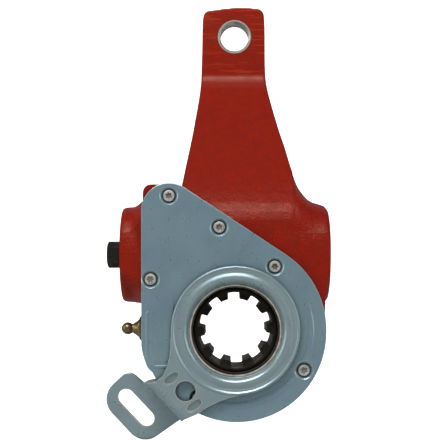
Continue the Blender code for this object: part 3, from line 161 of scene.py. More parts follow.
class StageSettings(bpy.types.PropertyGroup):
    """Camera and studio light."""

    distance: FloatProperty(
        name="Distance", description="From the camera to the camshaft's plane", default=0.53895, unit="LENGTH"
    )
    height: FloatProperty(name="Height", description="Height of the camera", default=0.0229, unit="LENGTH")
    side: FloatProperty(
        name="Side", description="Sideways place of the camera", default=-0.0044, unit="LENGTH"
    )
    lens: FloatProperty(name="Lens", description="Focal length in millimetres", default=84.2)
    shift_x: FloatProperty(name="Shift X", description="Sideways shift of the picture", default=-0.0154)
    shift_y: FloatProperty(name="Shift Y", description="Upward shift of the picture", default=0.1466)
    key_light: FloatProperty(name="Key light", description="Power of the main softbox in watts", default=11.0)
    fill_light: FloatProperty(
        name="Fill light", description="Power of each side softbox in watts", default=1.9
    )
    sky: FloatProperty(name="Surround", description="Strength of the surrounding light", default=0.13)


# Shader node groups


def group(name, inputs, outputs):
    """An empty shader group with named sockets: (name, kind, default) in, (name, kind) out."""
    tree = bpy.data.node_groups.new(name, "ShaderNodeTree")
    for label, kind, default in inputs:
        socket = tree.interface.new_socket(name=label, in_out="INPUT", socket_type=kind)
        if default is not None:
            socket.default_value = default
    for label, kind in outputs:
        tree.interface.new_socket(name=label, in_out="OUTPUT", socket_type=kind)
    start = tree.nodes.new("NodeGroupInput")
    end = tree.nodes.new("NodeGroupOutput")
    return tree, start, end


def add(tree, kind, sockets=None, **settings):
    """A node with its settings; each entry of sockets sets or links the input of that name."""
    node = tree.nodes.new(kind)
    for key, value in settings.items():
        setattr(node, key, value)
    for key, value in (sockets or {}).items():
        if isinstance(value, bpy.types.NodeSocket):
            tree.links.new(value, node.inputs[key])
        else:
            node.inputs[key].default_value = value
    return node


def maths(tree, operation, a, b, c=0.0, clamp=False):
    """A sum or product of values."""
    sockets = {0: a, 1: b, 2: c}
    return add(tree, "ShaderNodeMath", sockets, operation=operation, use_clamp=clamp).outputs[0]


def blended(tree, factor, a, b, blend="MIX"):
    """A mix of two colours, through the Mix node's colour sockets."""
    sockets = {0: factor, 6: a, 7: b}
    return add(tree, "ShaderNodeMix", sockets, data_type="RGBA", blend_type=blend).outputs[2]


def ramped(tree, value, low, high):
    """A value stretched so that low becomes 0 and high becomes 1."""
    sockets = {"Value": value, "From Min": low, "From Max": high}
    return add(tree, "ShaderNodeMapRange", sockets, interpolation_type="SMOOTHSTEP").outputs[0]


def cast_grain_group():
    """Rough casting under paint: fine lumps, broad lumps and pits, with a colour blotch."""
    tree, start, end = group(
        "Cast Grain",
        [("Vector", "NodeSocketVector", None), ("Grains per Metre", "NodeSocketFloat", 1000.0)],
        [("Height", "NodeSocketFloat"), ("Blotch", "NodeSocketFloat")],
    )
    vector = start.outputs["Vector"]
    scale = start.outputs["Grains per Metre"]
    lumps = add(
        tree,
        "ShaderNodeTexNoise",
        sockets={"Vector": vector, "Scale": scale, "Detail": 3.0, "Roughness": 0.55},
    )
    broad = add(
        tree,
        "ShaderNodeTexNoise",
        sockets={"Vector": vector, "Scale": maths(tree, "MULTIPLY", scale, 0.16), "Detail": 4.0},
    )
    pits = add(
        tree,
        "ShaderNodeTexVoronoi",
        sockets={"Vector": vector, "Scale": maths(tree, "MULTIPLY", scale, 0.7), "Randomness": 1.0},
    )
    pit = ramped(tree, pits.outputs["Distance"], 0.08, 0.5)
    height = maths(tree, "ADD", lumps.outputs["Fac"], maths(tree, "MULTIPLY", broad.outputs["Fac"], 1.6))
    height = maths(tree, "ADD", height, maths(tree, "MULTIPLY", pit, 0.35))
    tree.links.new(height, end.inputs["Height"])
    tree.links.new(ramped(tree, broad.outputs["Fac"], 0.35, 0.65), end.inputs["Blotch"])
    return tree


def edge_group():
    """A mask of convex edges, from the difference between the real and a rounded normal."""
    tree, start, end = group(
        "Edge Mask",
        [
            ("Radius", "NodeSocketFloat", 0.6 * MM),
            ("Amount", "NodeSocketFloat", 0.5),
            ("Break Up", "NodeSocketFloat", 0.5),
        ],
        [("Mask", "NodeSocketFloat")],
    )
    rounded = add(tree, "ShaderNodeBevel", samples=8, sockets={"Radius": start.outputs["Radius"]})
    surface = tree.nodes.new("ShaderNodeNewGeometry")
    sockets = {0: rounded.outputs[0], 1: surface.outputs["Normal"]}
    dot = add(tree, "ShaderNodeVectorMath", operation="DOT_PRODUCT", sockets=sockets)
    edge = maths(tree, "SUBTRACT", 1.0, dot.outputs["Value"], clamp=True)
    edge = maths(tree, "MULTIPLY", edge, 14.0, clamp=True)
    edge = maths(tree, "MULTIPLY", edge, start.outputs["Break Up"], clamp=True)
    tree.links.new(maths(tree, "MULTIPLY", edge, start.outputs["Amount"], clamp=True), end.inputs["Mask"])
    return tree


def grinding_group():
    """Long nearly level scratches of a grinding belt, as a mask."""
    tree, start, end = group(
        "Grinding Marks",
        [("Vector", "NodeSocketVector", None), ("Lines per Metre", "NodeSocketFloat", 900.0)],
        [("Mask", "NodeSocketFloat")],
    )
    tilted = add(
        tree,
        "ShaderNodeMapping",
        vector_type="POINT",
        sockets={"Vector": start.outputs["Vector"], "Rotation": (0.0, 0.12, 0.0), "Scale": (0.06, 0.4, 1.0)},
    )
    lines = add(
        tree,
        "ShaderNodeTexNoise",
        sockets={
            "Vector": tilted.outputs[0],
            "Scale": start.outputs["Lines per Metre"],
            "Detail": 2.0,
            "Distortion": 0.4,
        },
    )
    tree.links.new(ramped(tree, lines.outputs["Fac"], 0.54, 0.66), end.inputs["Mask"])
    return tree


def corner_shade_group():
    """A mask of painted shade in corners and recesses, from ambient occlusion."""
    tree, start, end = group(
        "Corner Shade Mask",
        [("Reach", "NodeSocketFloat", 4.0 * MM), ("Amount", "NodeSocketFloat", 0.7)],
        [("Mask", "NodeSocketFloat")],
    )
    shade = add(tree, "ShaderNodeAmbientOcclusion", samples=12, sockets={"Distance": start.outputs["Reach"]})
    dark = maths(tree, "SUBTRACT", 1.0, shade.outputs["AO"], clamp=True)
    dark = ramped(tree, dark, 0.15, 0.85)
    tree.links.new(maths(tree, "MULTIPLY", dark, start.outputs["Amount"], clamp=True), end.inputs["Mask"])
    return tree


def zinc_group():
    """Passivated zinc: a slow drift between blue, green and violet greys, with rolling marks."""
    tree, start, end = group(
        "Zinc Film",
        [
            ("Vector", "NodeSocketVector", None),
            ("Base", "NodeSocketColor", (0.2, 0.27, 0.3, 1.0)),
            ("Patches per Metre", "NodeSocketFloat", 90.0),
        ],
        [("Color", "NodeSocketColor"), ("Roughness", "NodeSocketFloat"), ("Height", "NodeSocketFloat")],
    )
    vector = start.outputs["Vector"]
    base = start.outputs["Base"]
    scale = start.outputs["Patches per Metre"]
    drift = add(
        tree,
        "ShaderNodeTexNoise",
        sockets={"Vector": vector, "Scale": scale, "Detail": 5.0, "Roughness": 0.6},
    )
    finer = maths(tree, "MULTIPLY", scale, 2.7)
    patch = add(
        tree,
        "ShaderNodeTexNoise",
        sockets={"Vector": vector, "Scale": finer, "Detail": 3.0, "Distortion": 0.8},
    )
    warm = blended(tree, 1.0, base, (1.03, 1.01, 0.97, 1.0), blend="MULTIPLY")
    violet = blended(tree, 1.0, base, (1.02, 0.96, 1.04, 1.0), blend="MULTIPLY")
    cool = blended(tree, ramped(tree, drift.outputs["Fac"], 0.42, 0.62), base, warm)
    film = blended(tree, ramped(tree, patch.outputs["Fac"], 0.50, 0.68), cool, violet)
    bright = maths(tree, "MULTIPLY_ADD", drift.outputs["Fac"], 0.3, 0.85)
    lit = add(tree, "ShaderNodeVectorMath", operation="SCALE", sockets={0: film, "Scale": bright})
    tree.links.new(lit.outputs[0], end.inputs["Color"])
    rough = maths(tree, "MULTIPLY_ADD", patch.outputs["Fac"], 0.16, 0.22)
    tree.links.new(rough, end.inputs["Roughness"])
    stretch = add(
        tree,
        "ShaderNodeMapping",
        vector_type="POINT",
        sockets={"Vector": vector, "Scale": (260.0, 260.0, 3400.0)},
    )
    marks = add(
        tree,
        "ShaderNodeTexNoise",
        sockets={"Vector": stretch.outputs[0], "Scale": 1.0, "Detail": 2.0},
    )
    height = maths(tree, "MULTIPLY_ADD", marks.outputs["Fac"], 0.6, patch.outputs["Fac"])
    tree.links.new(height, end.inputs["Height"])
    return tree


def lathe_group():
    """Fine rings left by a lathe, as a height, and stains."""
    tree, start, end = group(
        "Lathe Marks",
        [("Vector", "NodeSocketVector", None), ("Rings per Metre", "NodeSocketFloat", 2600.0)],
        [("Height", "NodeSocketFloat"), ("Stain", "NodeSocketFloat")],
    )
    vector = start.outputs["Vector"]
    length = add(tree, "ShaderNodeVectorMath", operation="LENGTH", sockets={0: vector})
    ring = add(tree, "ShaderNodeCombineXYZ", sockets={"X": length.outputs["Value"]})
    fine = add(
        tree,
        "ShaderNodeTexNoise",
        sockets={"Vector": ring.outputs[0], "Scale": start.outputs["Rings per Metre"], "Detail": 2.0},
    )
    stain = add(tree, "ShaderNodeTexNoise", sockets={"Vector": vector, "Scale": 240.0, "Detail": 4.0})
    tree.links.new(fine.outputs["Fac"], end.inputs["Height"])
    tree.links.new(ramped(tree, stain.outputs["Fac"], 0.4, 0.66), end.inputs["Stain"])
    return tree


def shared_groups():
    """Every shared group, made once."""
    makers = {
        "Cast Grain": cast_grain_group,
        "Edge Mask": edge_group,
        "Grinding Marks": grinding_group,
        "Corner Shade Mask": corner_shade_group,
        "Zinc Film": zinc_group,
        "Lathe Marks": lathe_group,
    }
    for name, maker in makers.items():
        if name not in bpy.data.node_groups:
            maker()


def use(tree, name, **sockets):
    """A group node, with underscores in the keywords read as spaces."""
    node = tree.nodes.new("ShaderNodeGroup")
    node.node_tree = bpy.data.node_groups[name]
    for key, value in sockets.items():
        socket = node.inputs[key.replace("_", " ")]
        if isinstance(value, bpy.types.NodeSocket):
            tree.links.new(value, socket)
        else:
            socket.default_value = value
    return node


def blank_material(name):
    """A material with its shader, its object coordinates and an empty tree otherwise."""
    material = bpy.data.materials.new(name)
    material.use_nodes = True
    tree = material.node_tree
    shader = tree.nodes["Principled BSDF"]
    place = tree.nodes.new("ShaderNodeTexCoord").outputs["Object"]
    return material, tree, shader, place


def bumped(tree, shader, height, strength, distance):
    """Gives a shader the relief of a height."""
    sockets = {"Height": height, "Strength": strength, "Distance": distance}
    tree.links.new(add(tree, "ShaderNodeBump", sockets).outputs[0], shader.inputs["Normal"])


def paint_material(finish):
    """Red paint on a rough casting, paler over edges where it is worn thin and where a painted highlight lies
    on them, with painted shade darkening its corners.
    """
    material, tree, shader, place = blank_material("red_paint_cast")
    grain = use(tree, "Cast Grain", Vector=place, Grains_per_Metre=1.0 / finish.grain_size)
    red = (*finish.paint, 1.0)
    deep = (finish.paint[0] * 0.86, finish.paint[1] * 0.85, finish.paint[2] * 0.9, 1.0)
    pale = (finish.paint[0] * 1.5, finish.paint[1] * 4.2, finish.paint[2] * 4.5, 1.0)
    colour = blended(tree, grain.outputs["Blotch"], deep, red)
    split = add(tree, "ShaderNodeSeparateXYZ", sockets={"Vector": place})
    eye = ramped(tree, split.outputs["Z"], 141 * MM, 145 * MM)
    marks = use(tree, "Grinding Marks", Vector=place, Lines_per_Metre=900.0)
    ground = maths(tree, "MULTIPLY", maths(tree, "MULTIPLY", eye, marks.outputs["Mask"]), 0.55)
    colour = blended(tree, ground, colour, pale)
    # Paint paler over edges, partly wear and partly a painted highlight along them
    wear_and_highlight = use(tree, "Edge Mask", Radius=0.8 * MM, Amount=finish.wear_and_highlight, Break_Up=grain.outputs["Blotch"])
    colour = blended(tree, wear_and_highlight.outputs["Mask"], colour, pale)
    # Painted shade: near black, and rougher, in corners, recesses and where parts meet
    corner_shade = use(tree, "Corner Shade Mask", Reach=5.0 * MM, Amount=0.85)
    colour = blended(tree, corner_shade.outputs["Mask"], colour, (0.035, 0.006, 0.004, 1.0))
    tree.links.new(colour, shader.inputs["Base Color"])
    rough = maths(tree, "MULTIPLY_ADD", grain.outputs["Blotch"], -0.08, 0.36)
    rough = maths(tree, "MULTIPLY_ADD", corner_shade.outputs["Mask"], 0.3, rough, clamp=True)
    tree.links.new(rough, shader.inputs["Roughness"])
    shader.inputs["Specular IOR Level"].default_value = 0.24
    shader.inputs["Specular Tint"].default_value = (1.0, 0.72, 0.55, 1.0)
    shader.inputs["Coat Weight"].default_value = 0.02
    shader.inputs["Coat Roughness"].default_value = 0.2
    # The drawn-out blade is smoother than its foot and the housing
    blade = ramped(tree, split.outputs["Z"], 70 * MM, 88 * MM)
    relief = maths(tree, "SUBTRACT", 1.0, maths(tree, "MULTIPLY", blade, 0.62))
    height = maths(tree, "MULTIPLY", grain.outputs["Height"], relief)
    bumped(tree, shader, height, 0.9, finish.grain_depth)
    return material


def zinc_material(finish, name="blue_zinc_film", tint=(1.0, 1.0, 1.0), metal=0.55):
    """Bluish zinc plating with a painted highlight along its edges and painted shade in its corners."""
    material, tree, shader, place = blank_material(name)
    base = tuple(a * b for a, b in zip(finish.zinc, tint))
    film = use(tree, "Zinc Film", Vector=place, Base=(*base, 1.0), Patches_per_Metre=70.0)
    # Painted highlight: edges lightened towards a pale blue grey
    edge = use(tree, "Edge Mask", Radius=0.45 * MM, Amount=1.0, Break_Up=0.9)
    bright = (min(1.0, base[0] * 3.2), min(1.0, base[1] * 2.2), min(1.0, base[2] * 1.6))
    colour = blended(tree, edge.outputs["Mask"], film.outputs["Color"], (*bright, 1.0))
    # Painted shade: near black in corners, recesses and where parts meet
    corner_shade = use(tree, "Corner Shade Mask", Reach=4.0 * MM, Amount=0.95)
    colour = blended(tree, corner_shade.outputs["Mask"], colour, (0.02, 0.022, 0.02, 1.0))
    tree.links.new(colour, shader.inputs["Base Color"])
    tree.links.new(film.outputs["Roughness"], shader.inputs["Roughness"])
    shader.inputs["Metallic"].default_value = metal
    bumped(tree, shader, film.outputs["Height"], 0.06, 0.05 * MM)
    return material


def steel_material(name, colour, roughness, metal, centre, rings=2600.0):
    """Turned steel: lathe rings about its own axis, stains and worn edges."""
    material, tree, shader, place = blank_material(name)
    shifted = add(tree, "ShaderNodeVectorMath", operation="SUBTRACT", sockets={0: place, 1: centre})
    marks = use(tree, "Lathe Marks", Vector=shifted.outputs[0], Rings_per_Metre=rings)
    dull = tuple(value * 0.55 for value in colour)
    shade = blended(tree, marks.outputs["Stain"], (*colour, 1.0), (*dull, 1.0))
    edge = use(tree, "Edge Mask", Radius=0.35 * MM, Amount=0.6, Break_Up=0.9)
    worn = tuple(min(1.0, value * 1.9 + 0.03) for value in colour)
    shade = blended(tree, edge.outputs["Mask"], shade, (*worn, 1.0))
    # Painted shade: near black in corners, recesses and where parts meet
    corner_shade = use(tree, "Corner Shade Mask", Reach=2.5 * MM, Amount=0.7)
    shade = blended(tree, corner_shade.outputs["Mask"], shade, (0.012, 0.010, 0.008, 1.0))
    tree.links.new(shade, shader.inputs["Base Color"])
    rough = maths(tree, "MULTIPLY_ADD", marks.outputs["Stain"], 0.18, roughness, clamp=True)
    tree.links.new(rough, shader.inputs["Roughness"])
    shader.inputs["Metallic"].default_value = metal
    bumped(tree, shader, marks.outputs["Height"], 0.25, 0.03 * MM)
    return material


def hub_material():
    """The control hub: a front edge of pale steel, lightened to stand in for its highlight, round a bore
    painted near black as shade.
    """
    material, tree, shader, place = blank_material("hub_edge_steel")
    split = add(tree, "ShaderNodeSeparateXYZ", sockets={"Vector": place})
    flat = add(tree, "ShaderNodeCombineXYZ", sockets={"X": split.outputs["X"], "Y": split.outputs["Z"]})
    marks = use(tree, "Lathe Marks", Vector=flat.outputs[0], Rings_per_Metre=2200.0)
    reach = add(tree, "ShaderNodeVectorMath", operation="LENGTH", sockets={0: flat.outputs[0]})
    # Painted shade: the bore inside the front edge is near black. Painted highlight: outside it the steel is
    # lightened.
    outer = ramped(tree, reach.outputs["Value"], HUB_BORE_R + 0.05 * MM, HUB_BORE_R + 0.4 * MM)
    pale_steel_and_highlight = blended(tree, marks.outputs["Stain"], (0.90, 0.86, 0.76, 1.0), (0.60, 0.56, 0.48, 1.0))
    shade = blended(tree, outer, (0.022, 0.016, 0.010, 1.0), pale_steel_and_highlight)
    tree.links.new(shade, shader.inputs["Base Color"])
    rough = maths(tree, "MULTIPLY_ADD", marks.outputs["Stain"], 0.15, 0.28)
    tree.links.new(rough, shader.inputs["Roughness"])
    shader.inputs["Metallic"].default_value = 0.7
    bumped(tree, shader, marks.outputs["Height"], 0.2, 0.03 * MM)
    return material


def rubber_material():
    """Matt black seal rubber with a slightly dusty bloom."""
    material, tree, shader, place = blank_material("seal_rubber")
    bloom = add(tree, "ShaderNodeTexNoise", sockets={"Vector": place, "Scale": 400.0, "Detail": 4.0})
    mask = ramped(tree, bloom.outputs["Fac"], 0.35, 0.75)
    colour = blended(tree, mask, (0.010, 0.010, 0.010, 1.0), (0.045, 0.043, 0.040, 1.0))
    tree.links.new(colour, shader.inputs["Base Color"])
    tree.links.new(maths(tree, "MULTIPLY_ADD", mask, 0.25, 0.55), shader.inputs["Roughness"])
    bumped(tree, shader, bloom.outputs["Fac"], 0.2, 0.05 * MM)
    return material


MATERIALS = {}


def make_materials():
    """Builds each finish once from the settings."""
    finish = bpy.context.scene.adjuster_finish
    shared_groups()
    origin = (0.0, 0.0, 0.0)
    worm = (0.0, 0.0, WORM_Z)
    eye = (0.0, 0.0, EYE_Z)
    black = (0.028, 0.023, 0.016)
    MATERIALS["paint"] = paint_material(finish)
    MATERIALS["zinc"] = zinc_material(finish)
    MATERIALS["cap_zinc"] = zinc_material(finish, "cap_zinc_film", (1.1, 0.95, 0.75), 0.5)
    MATERIALS["yellow"] = zinc_material(finish, "yellow_zinc_film", (0.95, 0.52, 0.22), 0.8)
    MATERIALS["arm_zinc"] = zinc_material(finish, "arm_zinc_film", (1.24, 1.10, 1.02))
    MATERIALS["bush"] = steel_material("bush_steel", (0.62, 0.60, 0.52), 0.3, 0.8, eye)
    MATERIALS["black"] = steel_material("black_oiled_steel", black, 0.42, 0.8, origin)
    MATERIALS["hexagon"] = steel_material("black_hex_steel", (0.05, 0.045, 0.036), 0.34, 0.85, worm)
    MATERIALS["screw"] = steel_material("screw_steel", (0.70, 0.68, 0.62), 0.32, 0.6, origin, 1400.0)
    MATERIALS["steel"] = steel_material("machined_steel", (0.45, 0.43, 0.38), 0.32, 0.95, origin)
    MATERIALS["hub"] = hub_material()
    MATERIALS["rubber"] = rubber_material()


# Mesh building


def new_object(name, mesh):
    obj = bpy.data.objects.new(name, mesh)
    bpy.context.scene.collection.objects.link(obj)
    return obj


def from_bmesh(bm, name):
    bmesh.ops.remove_doubles(bm, verts=bm.verts, dist=1e-7)
    bmesh.ops.recalc_face_normals(bm, faces=bm.faces)
    mesh = bpy.data.meshes.new(name)
    bm.to_mesh(mesh)
    bm.free()
    return new_object(name, mesh)


def baked(obj):
    """Applies every modifier of an object."""
    bpy.context.view_layer.update()
    graph = bpy.context.evaluated_depsgraph_get()
    mesh = bpy.data.meshes.new_from_object(obj.evaluated_get(graph))
    obj.modifiers.clear()
    obj.data = mesh
    return obj


def boolean(target, tool, operation, solver="EXACT"):
    modifier = target.modifiers.new("shape", "BOOLEAN")
    modifier.operation = operation
    modifier.solver = solver
    modifier.object = tool
    baked(target)
    bpy.data.objects.remove(tool, do_unlink=True)
    return target


def eased(t):
    """0 below 0, 1 above 1, and a smooth rise between them."""
    t = min(max(t, 0.0), 1.0)
    return t * t * (3 - 2 * t)


def arc(centre_a, centre_b, radius, start, end, steps):
    points = []
    for step in range(steps + 1):
        angle = math.radians(start + (end - start) * step / steps)
        points.append((centre_a + radius * math.cos(angle), centre_b + radius * math.sin(angle)))
    return points


AXES = {
    "X": lambda a, b, h: Vector((h, a, b)),
    "Y": lambda a, b, h: Vector((a, h, b)),
    "Z": lambda a, b, h: Vector((a, b, h)),
}


def prism(outline, axis, low, high):
    """Extrudes an outline along an axis."""
    place = AXES[axis]
    bm = bmesh.new()
    face = bm.faces.new([bm.verts.new(place(a, b, low)) for a, b in outline])
    extruded = bmesh.ops.extrude_face_region(bm, geom=[face])
    moved = [item for item in extruded["geom"] if isinstance(item, bmesh.types.BMVert)]
    bmesh.ops.translate(bm, verts=moved, vec=place(0, 0, high - low))
    return from_bmesh(bm, "prism")


def turned(profile, axis, centre=(0, 0, 0), segments=96, phase=0.0):
    """Turns a closed profile of (radius, height) points about an axis."""
    place = AXES[axis]
    bm = bmesh.new()
    rings = []
    for radius, height in profile:
        count = segments if radius > 0 else 1
        angles = [phase + 2 * math.pi * step / segments for step in range(count)]
        ring = [place(radius * math.cos(a), radius * math.sin(a), height) + Vector(centre) for a in angles]
        rings.append([bm.verts.new(point) for point in ring])
    for index, ring in enumerate(rings):
        other = rings[(index + 1) % len(rings)]
        for step in range(segments):
            after = (step + 1) % segments
            corners = [ring[step % len(ring)], ring[after % len(ring)]]
            corners += [other[after % len(other)], other[step % len(other)]]
            corners = list(dict.fromkeys(corners))
            if len(corners) > 2:
                bm.faces.new(corners)
    return from_bmesh(bm, "turned")


def lofted(loops):
    """A closed skin through rings of points that all have the same number of points."""
    bm = bmesh.new()
    rings = [[bm.verts.new(point) for point in loop] for loop in loops]
    for low, up in zip(rings, rings[1:]):
        for side in range(len(low)):
            beside = (side + 1) % len(low)
            bm.faces.new([low[side], low[beside], up[beside], up[side]])
    bm.faces.new(rings[0])
    bm.faces.new(rings[-1])
    return from_bmesh(bm, "lofted")


def rod(radius, axis, low, high, centre=(0, 0, 0), segments=96):
    return turned([(0, low), (radius, low), (radius, high), (0, high)], axis, centre, segments)


def box(low, high):
    outline = [(low[0], low[2]), (high[0], low[2]), (high[0], high[2]), (low[0], high[2])]
    return prism(outline, "Y", low[1], high[1])


def joined(objects):
    """One object that holds the meshes of several, without a Boolean."""
    bm = bmesh.new()
    for obj in objects:
        bm.from_mesh(obj.data)
        bpy.data.objects.remove(obj, do_unlink=True)
    mesh = bpy.data.meshes.new("joined")
    bm.to_mesh(mesh)
    bm.free()
    return new_object("joined", mesh)


def filled(parts, voxel, passes, factor=0.5):
    """One skin over several overlapping blanks, its inner corners filled and its edges rounded."""
    skin = joined(parts)
    size = voxel * 1.0
    remesh = skin.modifiers.new("skin", "REMESH")
    remesh.mode = "VOXEL"
    remesh.voxel_size = size
    relax = skin.modifiers.new("fillets", "SMOOTH")
    relax.factor = factor
    relax.iterations = max(1, passes // (1))
    return baked(skin)


def cut(target, *tools):
    for tool in tools:
        boolean(target, tool, "DIFFERENCE", "MANIFOLD")
    return target


def dressed(obj, node, body, finish, angle):
    """Puts a finished piece in its node's place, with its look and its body.

    Edges that bend by more than the angle, in degrees, stay sharp.
    """
    obj.name = node + "_skin"
    obj.data.name = obj.name
    obj.data.materials.clear()
    obj.data.materials.append(MATERIALS[finish])
    obj.data.shade_smooth()
    obj.data.set_sharp_from_angle(angle=math.radians(angle))
    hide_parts(node)
    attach(obj, body)
    return obj


def scaled(points):
    """Millimetres to metres."""
    return [(a * MM, b * MM) for a, b in points]


# Outlines that casting and cover share


def plate_outline(inset, steps=96):
    """The cover's outline: big circle, tangent, lobe, straight left side and lower left corner."""
    big = PLATE_R - inset
    lobe = LOBE_R - inset
    reach = math.hypot(LOBE_X, LOBE_Z)
    lean = math.degrees(math.atan2(LOBE_Z, LOBE_X) - math.acos((PLATE_R - LOBE_R) / reach))
    points = []
    corner = -144
    for step in range(steps + 1):
        angle = lean + (corner - lean) * step / steps
        around = math.radians(angle)
        swell = PLATE_SWELL * math.sin(math.radians(min(max((-angle - 5) * 1.6, 0), 180)))
        points.append(((big + swell) * math.cos(around), (big + swell) * math.sin(around)))
    points += arc(0, 0, PLATE_CORNER_R - inset, -146, -153, 4)
    points += arc(0, 0, PLATE_CORNER_R + 1.25 * MM - inset, -157, -168, 6)
    points.append((PLATE_LEFT_X + inset, -7.3 * MM))
    points += arc(LOBE_X, LOBE_Z, lobe, 180, lean, steps // 3)
    return points


def screw_places():
    """Name, X and Z of each cover screw."""
    return [
        ("screw_left", -42.6 * MM, 25.5 * MM),
        ("screw_top", -33.4 * MM, 67.3 * MM),
        ("screw_upper", -8.2 * MM, 51.6 * MM),
        ("screw_right", 19.6 * MM, 31.9 * MM),
        ("screw_lower_right", 34.2 * MM, -20.0 * MM),
        ("screw_lower_left", -18.8 * MM, -34.0 * MM),
    ]


# Casting


def lever_blank():
    """The cranked lever from its side profile and its front outline."""
    side = scaled(
        [
            (51.4, 186), (51.4, 142.8), (51.0, 141.2), (49.9, 138.8), (47.4, 134.8), (43.2, 129.8),
            (36.8, 123.3), (28.4, 115.2), (12.9, 98.6), (-6.0, 78.4), (-14.5, 69.3), (-18.6, 64.3),
            (-21.0, 60.0), (-22.2, 55.5), (-22.4, 50), (-22.4, 45), (15.4, 45), (15.4, 64.6),
            (16.6, 68.0), (20.0, 72.7), (28.9, 84.3), (39.3, 99.4), (50.9, 115.8), (60.4, 131.8),
            (61.8, 134.2), (62.4, 137.0), (62.4, 186),
        ]
    )
    left = scaled(
        [
            (-11.5, 180.5), (-15.6, 180.0), (-17.0, 179.0), (-17.9, 177.2), (-18.2, 174.5), (-18.4, 169.0),
            (-18.6, 156), (-18.9, 147), (-19.2, 138), (-19.7, 132), (-20.3, 126), (-21.5, 116),
            (-22.7, 106), (-24.2, 96), (-25.7, 86.6), (-27.1, 77.3), (-27.9, 72), (-28.5, 45),
        ]
    )
    right = scaled(
        [
            (29.0, 45), (29.4, 78.0), (30.0, 81.0), (29.8, 82.0), (28.7, 86.6), (26.7, 96.3),
            (24.2, 106.2), (22.1, 116.2), (20.1, 126.7), (19.1, 132.3), (18.2, 138.0), (17.8, 142.6),
            (17.5, 152), (17.4, 170), (17.2, 176.0), (16.9, 178.1), (16.3, 179.5), (15.0, 180.9),
        ]
    )
    crown = scaled([(12.0, 181.5), (6.0, 181.9), (1.0, 181.9), (-5.0, 181.4)])
    front = left + right + crown
    blank = prism(side, "X", -80 * MM, 80 * MM)
    return boolean(blank, prism(front, "Y", -40 * MM, 90 * MM), "INTERSECT")


def foot_reach(angle):
    """How far the lever's foot reaches from the barrel's axis, at an angle from +Y towards +Z."""
    section = [
        (-22.4, 45.0), (-22.3, 52.0), (-21.6, 57.0), (-19.8, 62.0), (-17.0, 66.2), (-10.1, 74.5),
        (-4.7, 80.0), (25.4, 80.0), (19.5, 72.3), (15.3, 65.1), (15.0, 45.0),
    ]
    corners = [Vector((y, z - WORM_Z / MM)) for y, z in section]
    axis = Vector((0, 0))
    ray = Vector((math.cos(angle), math.sin(angle))) * 90
    best = BARREL_R / MM
    for low, high in zip(corners, corners[1:]):
        hit = geometry.intersect_line_line_2d(low, high, axis, ray)
        if hit is not None:
            best = max(best, hit.length)
    return best * MM


def foot_fillet():
    """The hollow sweep from the lever's foot into the right half of the barrel.

    Each row is X, and how far the foot still stands proud at its top and at its front.
    """
    rows = [
        (28.0, 1.0, 1.0), (30.0, 1.0, 1.0), (30.9, 0.84, 0.99), (32.0, 0.68, 0.96), (33.4, 0.54, 0.88),
        (35.2, 0.40, 0.74), (37.5, 0.25, 0.52), (40.0, 0.16, 0.31), (42.9, 0.11, 0.15),
        (45.0, 0.07, 0.08), (46.6, 0.04, 0.04),
    ]
    sides = 120
    angles = [2 * math.pi * side / sides for side in range(sides)]
    reaches = [foot_reach(angle) for angle in angles]
    loops = []
    for x, top, front in rows:
        loop = []
        for angle, reach in zip(angles, reaches):
            # From the top's share at 96 degrees to the front's share at 130 degrees
            share = top + (front - top) * eased((math.degrees(angle) - 96) / 34)
            radius = BARREL_R + (reach - BARREL_R) * share - 0.05 * MM
            loop.append((x * MM, radius * math.cos(angle), WORM_Z + radius * math.sin(angle)))
        loops.append(loop)
    sweep = lofted(loops)
    far = 120 * MM
    return boolean(sweep, box((-far, FRONT_Y - FACING, -far), (far, far, far)), "INTERSECT")


